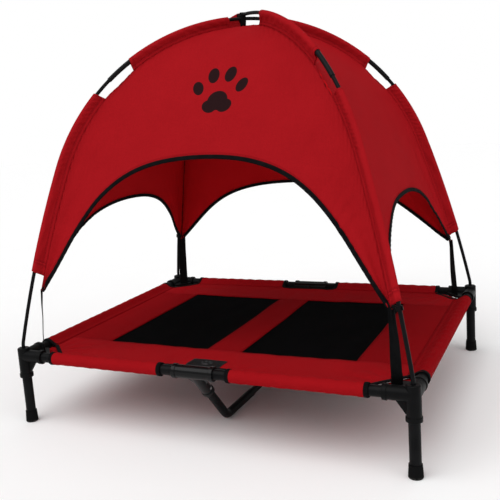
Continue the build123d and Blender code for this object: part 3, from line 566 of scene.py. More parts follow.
def bright_steel():
    n = Finish("bright steel", Metallic=1.0)
    brushed = n.cloudy(n.stretched(n.here(), 900.0, 900.0, 60.0), 1.0, 3.0)
    tint = n.colours(brushed, grey(0.36, 0.37), grey(0.62, 0.63))
    return n.done(tint, 0.22 + brushed * 0.22, (brushed, 0.00005, 1.0))


def pole_finish(name, colour, roughness):
    """Drawn glass-fibre rod or thin black tube: faint streaks along it."""
    n = Finish(name, Specular_IOR_Level=0.06)
    place = n.here()
    fine = n.cloudy(place, 900.0, 2.0)
    tint = n.colours(n.cloudy(place, 55.0, 3.0), colour, shade(colour, 2.0, 0.002))
    return n.done(tint, roughness - 0.06 + fine * 0.12, (fine, 0.00004, 1.0))


def cord_finish():
    n = Finish("elastic cord", Sheen_Weight=0.1)
    braid = n.add("TexWave", {"Vector": n.here(), "Scale": 420.0}, 1, bands_direction="DIAGONAL")
    return n.done(n.colours(braid, grey(0.25, 0.25), grey(0.6, 0.6)), 0.6 + braid * 0.2, (braid, 0.0001, 1.0))


def mesh_finish():
    """Black coated open mesh: rounded yarns on a square grid. The sheet is solid, and the holes between the yarns
    are painted darker as painted shade.
    """
    n = Finish("black open mesh", Specular_IOR_Level=0.003)
    flat = n.uv("weave")
    x, y, _ = n.axes(flat)
    per_yarn = math.pi / 0.0017
    yarn = n.sums("MAXIMUM", n.ridges(x, per_yarn), n.ridges(y, per_yarn))
    hole = n.spread(yarn, 0.62, 0.42)
    tint = n.colours(n.cloudy(flat, 22.0, 3.0), grey(0.0016, 0.0018), grey(0.0032, 0.0035))
    # Painted shade: the holes are coloured darker in place of the shade seen through a real open mesh.
    tint = n.colours(hole, tint, grey(0.0008, 0.0008))
    return n.done(tint, 0.62 + hole * 0.3, (yarn, 0.0004, 0.7))


def label_finish():
    """Woven patch with an overlocked rim and a small raised paw."""
    n = Finish("woven patch", Specular_IOR_Level=0.06)
    flat = n.uv("weave")
    weave = n.place(WEAVE, Vector=flat, Thread=0.0005, Unevenness=0.8)
    per_paw = 1.0 / 0.031
    paw = n.place(PAW_MARK, Vector=n.stretched(flat, per_paw, per_paw, per_paw))["Mask"]
    row = n.place(STITCH, Vector=n.uv("rim"), Offset=0.0016, Pitch=0.0022, Width=0.0012)
    tint = n.colours(weave["Tone"], grey(0.0035, 0.004), grey(0.007, 0.0075))
    tint = n.colours(paw * 0.8, tint, grey(0.055, 0.058))
    tint = n.colours(row["Thread"] * 0.9, tint, grey(0.035, 0.036))
    height = paw * 0.0003 + row["Thread"] * 0.0003 + weave["Height"] * 0.00012
    return n.done(tint, 0.5 + weave["Tone"] * 0.15, (height, 1.0, 1.0))


CANOPY_RED = rgb(0.408, 0.0090, 0.0138)
LINING_RED = rgb(0.600, 0.0080, 0.0120)
BED_RED = rgb(0.372, 0.0065, 0.0105)
# Painted shade: the bed cloth across the ends and the middle strip is a darker copy of the bed red, standing in for
# how light falls on it.
BED_END_SHADED_RED = rgb(0.300, 0.0045, 0.0075)
PAW_CENTRE = (0.028, 0.262, 0.0)
PAW_WIDTH = 0.150
PANEL_ROWS = (("seam_run", 0.0035), ("hem_run", 0.0105))
BED_ROWS = (("band_run", 0.004), ("window_run", 0.004), ("rail_run", 0.003))
BED_END_ROWS = (("band_run", -0.004),) + BED_ROWS[1:]
canopy_cloth = cloth_finish("red canopy cloth", CANOPY_RED, PANEL_ROWS)
printed_cloth = cloth_finish("printed canopy cloth", CANOPY_RED, PANEL_ROWS, mark=("weave", PAW_CENTRE, PAW_WIDTH))
lining_cloth = cloth_finish("coated side of the canopy cloth", LINING_RED, PANEL_ROWS, roughness=0.62, gloss=0.010)
sleeve_cloth = cloth_finish("red sleeve cloth", CANOPY_RED, (("run", 0.0065), ("ends", 0.008)), creases=0.0019)
bed_cloth = cloth_finish("red bed cloth", BED_RED, BED_ROWS, thread=0.0008)
# The crosswise bed cloth, painted darker as shade.
bed_end_shaded_cloth = cloth_finish("red bed cloth laid crosswise, painted darker as shade", BED_END_SHADED_RED, BED_END_ROWS, thread=0.0008,
                             roughness=0.65, gloss=0.003)
edge_tape = tape_finish("black edge tape", BLACK, rows=(0.0065,))
inside_tape = tape_finish("black seam tape", BLACK, rows=(0.0016, 0.0074))
webbing = tape_finish("black webbing", grey(0.0030, 0.0033), rib=0.0016, rows=(0.0018, 0.0222))
mesh_cloth = mesh_finish()
patch_cloth = label_finish()
joint_plastic = plastic_finish("black joint plastic", 0.42, 0.0008, wear=0.3)
centre_plastic = plastic_finish("glossy black joint plastic", 0.24, 0.0016, wear=0.25, coat=0.20, bump=0.00004)
tube_coat = powder_coat()
foot_rubber = rubber_finish()
steel = bright_steel()
pole_fibre = pole_finish("black pole fibre", BLACK, 0.34)
ferrule_metal = pole_finish("black ferrule", PLASTIC_BLACK, 0.3)
elastic_cord = cord_finish()

NODE_FINISH = {
    "corner_joint_": joint_plastic, "centre_joint_": centre_plastic, "leg_tube_": tube_coat,
    "foot_cap_": foot_rubber, "side_rail_": tube_coat, "front_rail_": tube_coat, "back_rail_": tube_coat,
    "brace_": tube_coat, "spring_buttons": steel, "pole_end_": pole_fibre, "pole_middle_": pole_fibre,
    "pole_ferrules": ferrule_metal, "pole_tips": joint_plastic, "pole_hooks": joint_plastic,
    "strap_tabs": joint_plastic, "shock_cords": elastic_cord,
}
for node_name, cad_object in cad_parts.items():
    for prefix, finish in NODE_FINISH.items():
        if node_name.startswith(prefix):
            for material_slot in cad_object.material_slots:
                material_slot.material = finish


# ---------------------------------------------------------------- the bend of the poles and of the cloth
class Bend:
    """Half of a bent pole: a tight arc from the crown, easing into a long one to the foot."""

    def __init__(self, crown_z):
        foot_r = HALF_DIAGONAL - POLE_FOOT_BEND_R * (1 - math.cos(POLE_LEAN))
        foot_z = JOINT_TOP_Z + POLE_FOOT_STRAIGHT + POLE_FOOT_BEND_R * math.sin(POLE_LEAN)
        self.ease, self.last = POLE_EASE, math.pi / 2 - POLE_LEAN
        out_1, out_2 = math.sin(self.ease), math.sin(self.last) - math.sin(self.ease)
        down_1, down_2 = 1 - math.cos(self.ease), math.cos(self.ease) - math.cos(self.last)
        rise = crown_z - foot_z
        share = out_1 * down_2 - out_2 * down_1
        self.top_r = (foot_r * down_2 - out_2 * rise) / share
        self.side_r = (out_1 * rise - down_1 * foot_r) / share
        self.top_centre = (0.0, crown_z - self.top_r)
        reach = self.side_r - self.top_r
        self.side_centre = (-reach * math.sin(self.ease), self.top_centre[1] - reach * math.cos(self.ease))

    def arc(self, turn):
        if abs(turn) <= self.ease:
            return self.top_centre, self.top_r
        return self.side_centre, self.side_r

    def point(self, turn, inset=0.0):
        """(distance from centre, height) after turning from level by an angle."""
        centre, radius = self.arc(turn)
        return centre[0] + (radius - inset) * math.sin(turn), centre[1] + (radius - inset) * math.cos(turn)

    def turn_at_height(self, z, inset=0.0):
        cosine = (z - self.top_centre[1]) / (self.top_r - inset)
        if cosine >= math.cos(self.ease):
            return math.acos(min(1.0, cosine))
        return math.acos((z - self.side_centre[1]) / (self.side_r - inset))


MEAN = Bend(CROWN_Z)
BEND_OF = {
    "front_left": Bend(CROWN_Z - CROSS_SHIFT),
    "back_right": Bend(CROWN_Z - CROSS_SHIFT),
    "front_right": Bend(CROWN_Z + CROSS_SHIFT),
    "back_left": Bend(CROWN_Z + CROSS_SHIFT),
}
TIP_TURN = MEAN.turn_at_height(CORNER_TIP_Z, SEAM_DEPTH)
TIP_R = MEAN.point(TIP_TURN, SEAM_DEPTH)[0]


# The corners at the two ends of each side, in the direction the side runs.
PANEL_ENDS = {
    "front": ("front_left", "front_right"),
    "right": ("front_right", "back_right"),
    "back": ("back_right", "back_left"),
    "left": ("back_left", "front_left"),
}


class Barrel:
    """One side of the dome. Its cloth bends one way only, so it has a true flat pattern:
    s runs along the side and l runs down it from the crown."""

    STEPS = 260

    def __init__(self, side):
        x, y = SIDES[side]
        self.out = Vector((x, y, 0.0))
        self.along = Vector((-y, x, 0.0))
        self.out_share = SIDE_Y if y else SIDE_X
        self.along_share = SIDE_X if y else SIDE_Y
        self.rise = FRONT_ARCH_RISE if side == "front" else LOW_ARCH_RISE
        self.seed = 7.3 * list(SIDES).index(side)
        self.ends = PANEL_ENDS[side]
        self.turns, self.lengths = [0.0], [0.0]
        for start, end in ((0.0, MEAN.ease), (MEAN.ease, MEAN.last)):
            step = (end - start) / self.STEPS
            for index in range(self.STEPS):
                middle = start + step * (index + 0.5)
                radius = MEAN.arc(middle)[1] - SEAM_DEPTH
                run = math.hypot(self.out_share * math.cos(middle), math.sin(middle)) * radius
                self.turns.append(start + step * (index + 1))
                self.lengths.append(self.lengths[-1] + run * step)
        points = self.arch_curve()
        self.arch_s, self.arch_l = zip(*points)
        self.arch_run = running_length(points)
        self.arch_length = self.arch_run[-1]

    @staticmethod
    def look_up(value, known, wanted):
        index = min(len(known) - 2, max(0, bisect.bisect_right(known, value) - 1))
        share = (value - known[index]) / (known[index + 1] - known[index])
        return mix(wanted[index], wanted[index + 1], share)

    def length_at(self, turn):
        return self.look_up(turn, self.turns, self.lengths)

    def turn_at(self, length):
        return self.look_up(length, self.lengths, self.turns)

    def place(self, s, length, lift=0.0):
        """A pattern point in space, raised off the cloth by lift."""
        turn = self.turn_at(length)
        r, z = MEAN.point(turn, SEAM_DEPTH)
        at = raised(self.out * (r * self.out_share) + self.along * s, z)
        normal = raised(self.out * math.sin(turn), self.out_share * math.cos(turn)).normalized()
        return at + normal * lift

    def seam_at(self, u):
        """Pattern point on the corner seam, u of the way from crown to tip, and its turn."""
        top = (MEAN.top_r - SEAM_DEPTH) * MEAN.ease
        whole = top + (MEAN.side_r - SEAM_DEPTH) * (TIP_TURN - MEAN.ease)
        at = u * whole
        if at <= top:
            turn = at / (MEAN.top_r - SEAM_DEPTH)
        else:
            turn = MEAN.ease + (at - top) / (MEAN.side_r - SEAM_DEPTH)
        return MEAN.point(turn, SEAM_DEPTH)[0] * self.along_share, self.length_at(turn), turn, at

    def arch_curve(self):
        """The doorway's edge from its crown to a foot, as evenly spaced pattern points."""
        half = TIP_R * self.along_share - LEG_CLOTH_W
        handles = ((0.0, self.rise), (ARCH_CROWN_OUT * half, self.rise),
                   (ARCH_LEG[0] * half, ARCH_LEG[1] * self.rise), (half, 0.0))
        found = []
        for index in range(401):
            t = index / 400
            shares = ((1 - t) ** 3, 3 * t * (1 - t) ** 2, 3 * t * t * (1 - t), t ** 3)
            s = sum(share * handle[0] for share, handle in zip(shares, handles))
            z = sum(share * handle[1] for share, handle in zip(shares, handles)) + CORNER_TIP_Z
            found.append((s, self.length_at(MEAN.turn_at_height(z, SEAM_DEPTH))))
        return found

    def arch_at(self, u):
        """Pattern point on the doorway's edge, u of the way from its crown to a foot."""
        run = u * self.arch_length
        return self.look_up(run, self.arch_run, self.arch_s), self.look_up(run, self.arch_run, self.arch_l)

    def pattern(self, u, v):
        """Pattern point for u from -1 (one tip) to 1 (the other) and v from 0 (seam) to 1 (doorway)."""
        sign = -1 if u < 0 else 1
        seam_s, seam_l, _, _ = self.seam_at(abs(u))
        arch_s, arch_l = self.arch_at(abs(u))
        return sign * mix(seam_s, arch_s, v), mix(seam_l, arch_l, v)

    def width_at(self, u):
        """Pattern distance from seam to doorway."""
        seam_s, seam_l, _, _ = self.seam_at(abs(u))
        return math.dist((seam_s, seam_l), self.arch_at(abs(u)))

    def dip(self, u):
        """How far the seam is drawn in where its sleeve has a gap."""
        top, low = GAP_TURNS[self.ends[0 if u < 0 else 1]]
        turn = math.degrees(self.seam_at(abs(u))[2])
        across_gap = min(1.0, max(0.0, (turn - top) / (low - top)))
        return GAP_DIP * math.sin(math.pi * across_gap) ** 1.3

    def lift(self, u, v):
        """How far the taut cloth stands off the even barrel, outward positive."""
        s, length = self.pattern(u, v)
        width = self.width_at(u)
        from_seam, from_arch = v * width, (1 - v) * width
        run = self.seam_at(abs(u))[3] * (1 if u > 0 else -1)
        free = smooth(0.0, 0.05, from_seam)
        belly = -0.0035 * math.sin(math.pi * min(1.0, max(0.0, v))) * smooth(1.0, 0.5, abs(u))
        belly -= self.dip(u) * 0.85 * math.exp(-max(0.0, from_seam) / 0.045)
        broad = 0.0026 * ripple(s * 8.5, length * 8.5, self.seed) * free
        fold_room = smooth(0.35, 0.8, abs(u)) * math.sin(math.pi * min(1.0, max(0.0, v)))
        bend = 0.35 * ripple(run * 5.0, 3.1, self.seed)
        folds = 0.0026 * fold_room * wave(1.6 * v + bend + 0.3 * self.seed)
        drag = 0.0016 * smooth(0.25, 0.7, abs(u)) * free * ripple(s * 60 + length * 38, length * 9, self.seed)
        uneven = 0.6 + 0.8 * abs(ripple(run * 11, 1.7, self.seed))
        slanted = abs(run) - 0.9 * from_seam
        pucker = 0.0013 * uneven * math.cos(2 * math.pi * slanted / 0.023 + 3 * ripple(run * 16, 0.4, self.seed))
        pucker *= math.exp(-max(0.0, from_seam) / 0.022) * smooth(0.0, 0.004, from_seam)
        hem = 0.00035 * math.cos(2 * math.pi * run / 0.027 + 2.5 * ripple(run * 12, 9.4, self.seed))
        hem *= math.exp(-max(0.0, from_arch) / 0.018) * smooth(0.0, 0.02, from_seam)
        return belly + broad + folds + drag + pucker + hem


BARRELS = {side: Barrel(side) for side in SIDES}


def corner_axes(corner):
    """Directions out along a corner's diagonal and across it."""
    side_x, side_y = CORNERS[corner]
    out = Vector((side_x * SIDE_X, side_y * SIDE_Y, 0.0))
    return out, Vector((-out.y, out.x, 0.0))


def seam_point(corner, turn, inward=0.0):
    """A point of a corner seam, moved in toward the middle of the dome."""
    r, z = MEAN.point(turn, SEAM_DEPTH + inward)
    return raised(corner_axes(corner)[0] * r, z)


def canopy_panel(side):
    """One cloth panel of the dome, cut to its flat pattern and laid over the barrel."""
    barrel = BARRELS[side]
    columns = 150
    rows = 56
    verts, flat, seam_run, hem_run = [], [], [], []
    for column in range(-columns, columns + 1):
        u = column / columns
        width = barrel.width_at(u)
        run = barrel.seam_at(abs(u))[3] * (1 if u > 0 else -1)
        for row in range(rows + 1):
            v = (row / rows - 0.10 * wave(row / rows)) * (1 - 0.0015 / width)
            s, length = barrel.pattern(u, v)
            if row == 0:
                point = seam_point(barrel.ends[0 if u < 0 else 1], barrel.seam_at(abs(u))[2], barrel.dip(u))
            else:
                point = barrel.place(s, length, barrel.lift(u, v))
            verts.append(point)
            flat.append((s, length))
            seam_run.append((run, v * width))
            hem_run.append((u * barrel.arch_length, (1 - v) * width))
    faces = grid_faces(2 * columns + 1, rows + 1)
    uvs = {"weave": flat, "seam_run": seam_run, "hem_run": hem_run}
    outside = printed_cloth if side == "front" else canopy_cloth
    piece = make_piece("canopy_cloth_" + side, verts, faces, "canopy", [outside, lining_cloth], uvs)
    thicken(piece, PANEL_T, -1.0, 1)
    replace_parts(piece, "canopy_panel_" + side)
    area = 0.0
    for quad in faces:
        corners = [flat[i] for i in quad]
        area += 0.5 * abs(sum(a[0] * b[1] - b[0] * a[1] for a, b in zip(corners, corners[1:] + corners[:1])))
    size = (2 * max(s for s, _ in flat), max(length for _, length in flat))
    return piece, size, area


def edge_point(barrel, u, inward, lift):
    """A point at a distance in from the doorway's edge, raised off the cloth by lift."""
    v = 1 - inward / barrel.width_at(u)
    step = 0.004
    before, after = barrel.pattern(max(-1.0, u - step), 1.0), barrel.pattern(min(1.0, u + step), 1.0)
    tangent = Vector((after[0] - before[0], after[1] - before[1])).normalized()
    across = Vector((tangent.y, -tangent.x))
    at = Vector(barrel.pattern(u, 1.0)) + across * inward
    return barrel.place(at.x, at.y, barrel.lift(u, max(0.0, min(1.0, v))) + lift)


def arch_trim(side):
    """Tape folded over the doorway's edge and sewn through."""
    barrel = BARRELS[side]
    steps = 160
    section = [(TAPE_W, 0.0002), (TAPE_W - 0.0004, 0.0010), (0.005, 0.0012), (0.0015, 0.0013), (0.0, 0.0011),
               (-0.0009, 0.0002), (-0.0011, -0.0006), (-0.0009, -0.0014), (0.0, -0.0022), (0.0015, -0.0024),
               (0.005, -0.0023), (TAPE_W - 0.0004, -0.0021), (TAPE_W, -0.0013)]
    verts, run = [], []
    around = running_length(section)
    for index in range(-steps, steps + 1):
        u = index / steps
        for (inward, lift), at in zip(section, around):
            verts.append(edge_point(barrel, u, inward, lift))
            run.append((u * barrel.arch_length, TAPE_W - inward if at < TAPE_W + 0.001 else inward))
    faces = tube_faces(2 * steps + 1, len(section))
    piece = make_piece("doorway_tape_" + side, verts, faces, "canopy", [edge_tape], {"run": run})
    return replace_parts(piece, "arch_binding_" + side)


# ---------------------------------------------------------------- pole pockets
def pocket_section(depth):
    """Half outline of a pocket: (height above the seam, half width) from the seam up round the pole."""
    flank = [(-0.0012, 0.0011)]
    for index in range(1, 9):
        x = depth * index / 9
        flank.append((x, 0.0011 + (SLEEVE_R - 0.0011) * smooth(0.30 * depth, 1.0 * depth, x)))
    for index in range(6):
        angle = math.pi / 2 * index / 6
        flank.append((depth + SLEEVE_R * math.sin(angle), SLEEVE_R * math.cos(angle)))
    return flank


def pole_pocket(corner):
    """The cloth pocket of one pole, in two stretches with the ferrule bare between them."""
    bend = BEND_OF[corner]
    out, across = corner_axes(corner)
    seed = 3.7 * list(CORNERS).index(corner) + 20
    top = math.asin(SLEEVE_TOP_R[corner] / bend.top_r)
    low = bend.turn_at_height(SLEEVE_END_Z[corner])
    gap_top, gap_low = [math.radians(turn) for turn in GAP_TURNS[corner]]
    verts, faces, weave, run_map, ends_map = [], [], [], [], []
    for start, end in ((top, gap_top), (gap_low, low)):
        stretch = running_length([bend.point(mix(start, end, i / 60)) for i in range(61)])[-1]
        rows = max(24, int(stretch / 0.004))
        base = len(verts)
        for row in range(rows + 1):
            share = row / rows
            turn = mix(start, end, share)
            pole_r, pole_z = bend.point(turn)
            seam_r, seam_z = MEAN.point(turn, SEAM_DEPTH)
            depth = (pole_r - seam_r) * math.sin(turn) + (pole_z - seam_z) * math.cos(turn)
            half = pocket_section(depth)
            for side_sign, outline in ((-1, half), (1, [(depth + SLEEVE_R, 0.0)] + half[::-1])):
                for x, k in outline:
                    slant = 0.0075 * (1 - max(0.0, x) / (depth + SLEEVE_R))
                    moved = mix(start - slant / bend.arc(start)[1], end + slant / bend.arc(end)[1], share)
                    p_r, p_z = bend.point(moved, depth - x)
                    at_run = share * stretch
                    window = smooth(0.0, 0.35, x / depth) * smooth(1.25, 0.75, x / depth)
                    wrinkle = 0.0012 * ripple(at_run * 42 - x * 60, x * 70 * side_sign, seed)
                    wrinkle += 0.0008 * math.sin((at_run - 1.1 * x) * 2 * math.pi / 0.023
                                                 + side_sign + 3 * ripple(at_run * 15, 0.7, seed))
                    hem = 0.0004 * smooth(0.010, 0.008, min(at_run, stretch - at_run))
                    k_out = k + wrinkle * window + (hem if k > 0 else 0.0)
                    verts.append(raised(out * p_r + across * (k_out * side_sign), p_z))
                    weave.append((at_run, x * side_sign))
                    run_map.append((at_run, max(0.0, x)))
                    ends_map.append((x * side_sign, min(at_run, stretch - at_run)))
        count = (len(verts) - base) // (rows + 1)
        faces += grid_faces(rows + 1, count, start=base, flip=True)
    uvs = {"weave": weave, "run": run_map, "ends": ends_map}
    piece = make_piece("pole_pocket_" + corner, verts, faces, "canopy", [sleeve_cloth], uvs)
    thicken(piece, 0.0009, -1.0)
    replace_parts(piece, "pole_sleeve_" + corner)


def inside_seam_tapes():
    """Tape sewn over the inside of each corner seam."""
    half_w = 0.0050
    steps = 120
    verts, faces, run = [], [], []
    neighbours = {"front_right": ("front", 1, "right", -1), "back_right": ("right", 1, "back", -1),
                  "back_left": ("back", 1, "left", -1), "front_left": ("left", 1, "front", -1)}
    for corner, (first, first_sign, second, second_sign) in neighbours.items():
        base = len(verts)
        start = 0.045 / 0.86
        for index in range(steps + 1):
            u = mix(start, 0.985, index / steps)
            for barrel, sign, distances in ((BARRELS[first], first_sign, (half_w, half_w * 0.5, 0.0)),
                                            (BARRELS[second], second_sign, (half_w * 0.5, half_w))):
                width = barrel.width_at(u)
                for distance in distances:
                    v = distance / width
                    s, length = barrel.pattern(sign * u, v)
                    lift = barrel.lift(sign * u, v) - PANEL_T - 0.0010
                    if distance == 0.0:
                        inward = PANEL_T + 0.0019 + barrel.dip(sign * u)
                        point = seam_point(corner, barrel.seam_at(u)[2], inward)
                    else:
                        point = barrel.place(s, length, lift)
                    verts.append(point)
                    across = distance if barrel is BARRELS[second] else -distance
                    run.append((barrel.seam_at(u)[3], half_w + across))
        faces += grid_faces(steps + 1, 5, start=base)
    piece = make_piece("inside_seam_tapes", verts, faces, "canopy", [inside_tape], {"run": run})
    thicken(piece, 0.0006, 1.0)
    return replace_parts(piece, "seam_tapes")


# ---------------------------------------------------------------- straps and tie
def corner_strap(corner):
    """Flat webbing from the cloth's tip down to the tab in the corner joint, gathered at its top."""
    out, across = corner_axes(corner)
    tip_r, tip_z = MEAN.point(TIP_TURN, SEAM_DEPTH)
    top = Vector((tip_r - 0.002, tip_z + 0.004))
    bottom = Vector((HALF_DIAGONAL - STRAP_SLOT_AT, TAB_TOP_Z - 0.003))
    line = top - bottom
    normal = Vector((line.y, -line.x)).normalized()
    rows, columns = 44, 12
    verts, run = [], []
    seed = list(CORNERS).index(corner) * 2.1
    for row in range(rows + 1):
        t = row / rows
        at = bottom + line * t
        half = mix(STRAP_W, STRAP_TOP_W[corner], smooth(0.12, 1.0, t)) / 2
        gather = smooth(0.45, 1.0, t)
        for column in range(columns + 1):
            k = -1 + 2 * column / columns
            curl = 0.0016 * gather * math.cos(2.2 * math.pi * k + seed)
            bow = 0.0010 * ripple(t * 3.0, seed) + 0.0006 * (1 - k * k) * math.sin(math.pi * t)
            spot = at + normal * (curl + bow)
            verts.append(raised(out * spot.x + across * (half * k), spot.y))
            run.append((line.length * t, STRAP_W * (k + 1) / 2))
    faces = grid_faces(rows + 1, columns + 1)
    piece = make_piece("corner_webbing_" + corner, verts, faces, "canopy", [webbing], {"run": run})
    thicken(piece, STRAP_T, 0.0)
    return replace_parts(piece, "corner_strap_" + corner)


def crossing_tie():
    """Webbing that goes over both poles where they cross and down to the top of the cloth."""
    half_w, thickness = 0.006, 0.0015
    sideways = Vector((SIDE_X, SIDE_Y, 0.0))
    forward = Vector((SIDE_Y, -SIDE_X, 0.0))
    top_z = CROWN_Z + CROSS_SHIFT + POLE_R + 0.0008
    cloth_z = CROWN_Z - SEAM_DEPTH + 0.0006
    loop_r = POLE_R + 0.0012
    path = [(loop_r * 0.35, cloth_z), (loop_r * 0.55, cloth_z + 0.004), (loop_r, cloth_z + 0.010),
            (loop_r, top_z - loop_r)]
    for index in range(1, 12):
        angle = math.pi * index / 12
        path.append((loop_r * math.cos(angle), top_z - loop_r + loop_r * math.sin(angle)))
    path += [(-x, z) for x, z in reversed(path[:4])]
    stations = []
    for index, (x, z) in enumerate(path):
        before, after = beside(path, index)
        run = Vector((after[0] - before[0], after[1] - before[1])).normalized()
        stations.append((raised(forward * x, z), sideways, raised(forward * run.y, -run.x)))
    edge = thickness / 2
    under = [(-half_w, -edge * 0.6), (-half_w + 0.0004, -edge), (half_w - 0.0004, -edge), (half_w, -edge * 0.6)]
    section = under + [(x, -y) for x, y in reversed(under)]
    piece = band("crossing_webbing", stations, section, "canopy", [webbing])
    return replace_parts(piece, "crown_tie")


# ---------------------------------------------------------------- bed cover
def notch_distance(x, y):
    """Signed distance from the nearest notch: negative where the cover is cut away. Also its pull."""
    along_x, along_y = HALF_X - abs(x), HALF_Y - abs(y)
    limits = (
        (along_x - NOTCH_REACH, (-1, 0)),
        (along_y - NOTCH_REACH, (0, -1)),
        ((along_x + along_y - NOTCH_REACH - NOTCH_SHOULDER) / math.sqrt(2), (-math.sqrt(0.5), -math.sqrt(0.5))),
    )
    corner = max(limits)
    centre = max(((abs(x) - CENTRE_NOTCH_HALF, (1, 0)), (along_y - CENTRE_NOTCH_DEPTH, (0, -1))))
    best = min(corner, centre)
    pull = Vector((best[1][0] * (1 if x >= 0 else -1), best[1][1] * (1 if y >= 0 else -1)))
    return best[0], pull


def deck_height(x, y):
    """Height of the taut deck: a slight sag, soft waves, and creases that run from the notches."""
    sag = DECK_SAG * math.cos(math.pi / 2 * x / HALF_X) * math.cos(math.pi / 2 * y / HALF_Y)
    edge = min(HALF_X - abs(x), HALF_Y - abs(y))
    free = smooth(POCKET_SEAM, POCKET_SEAM + 0.03, edge)
    waves = 0.0014 * ripple(x * 9, y * 9, 5.5) * free
    waves += 0.0011 * ripple(x * 32, y * 8, 8.5) * free
    notch_x, notch_y = HALF_X - 0.045, HALF_Y - 0.045
    from_x, from_y = abs(x) - notch_x, abs(y) - notch_y
    away = math.hypot(from_x, from_y)
    side = (1 if x > 0 else 2) + (3 if y > 0 else 5)
    angle = math.atan2(from_y, from_x) + 0.12 * ripple(x * 20, y * 20, side)
    creases = 0.0042 * math.sin(11 * angle + side) * math.exp(-away / 0.060) * smooth(0.028, 0.055, away)
    from_x, from_y = abs(x) - CENTRE_NOTCH_HALF, abs(y) - (HALF_Y - CENTRE_NOTCH_DEPTH)
    away, angle = math.hypot(from_x, from_y), math.atan2(from_y, from_x)
    creases += 0.0024 * math.sin(7 * angle + side) * math.exp(-away / 0.035) * smooth(0.008, 0.025, away)
    return RAIL_Z - sag + waves + creases * smooth(POCKET_SEAM - 0.002, POCKET_SEAM + 0.012, edge)


def spaced(marks, step):
    """Positions through every mark, close to step apart."""
    found = [marks[0]]
    for first, second in zip(marks, marks[1:]):
        count = max(1, round((second - first) / step))
        found += [mix(first, second, (i + 1) / count) for i in range(count)]
    return found


def in_window(x, y):
    return STRIP_HALF < abs(x) < WINDOW_X and abs(y) < WINDOW_Y


def window_distance(x):
    return min(abs(abs(x) - STRIP_HALF), abs(abs(x) - WINDOW_X))


def pocket_height(a):
    """Height of the cover's top layer over the rail centre, at a distance inward from the rail."""
    if a >= POCKET_SEAM:
        return 0.0
    return 0.0014 + (COVER_R - 0.0014) * smooth(POCKET_SEAM, 0.0, a)


def round_a_rail(first, marks, parts, turns):
    """Section of the cover round a rail, as (inward, up) from a point on top to the one under it."""
    section = [first]
    for k in marks:
        a = POCKET_SEAM * (1 - k / parts)
        section.append((a, pocket_height(a)))
    top = list(section)
    for k in range(turns + 1):
        angle = math.pi / 2 + math.pi * k / turns
        section.append((COVER_R * math.cos(angle), COVER_R * math.sin(angle)))
    return section + [(a, -b) for a, b in reversed(top)]


def on_cover(point, a, up):
    """A point of a rail's pocket, which follows the deck where it joins it."""
    deck = deck_height(point.x, point.y) - RAIL_Z
    return raised(point, RAIL_Z + up + deck * smooth(0.0, POCKET_SEAM, a))


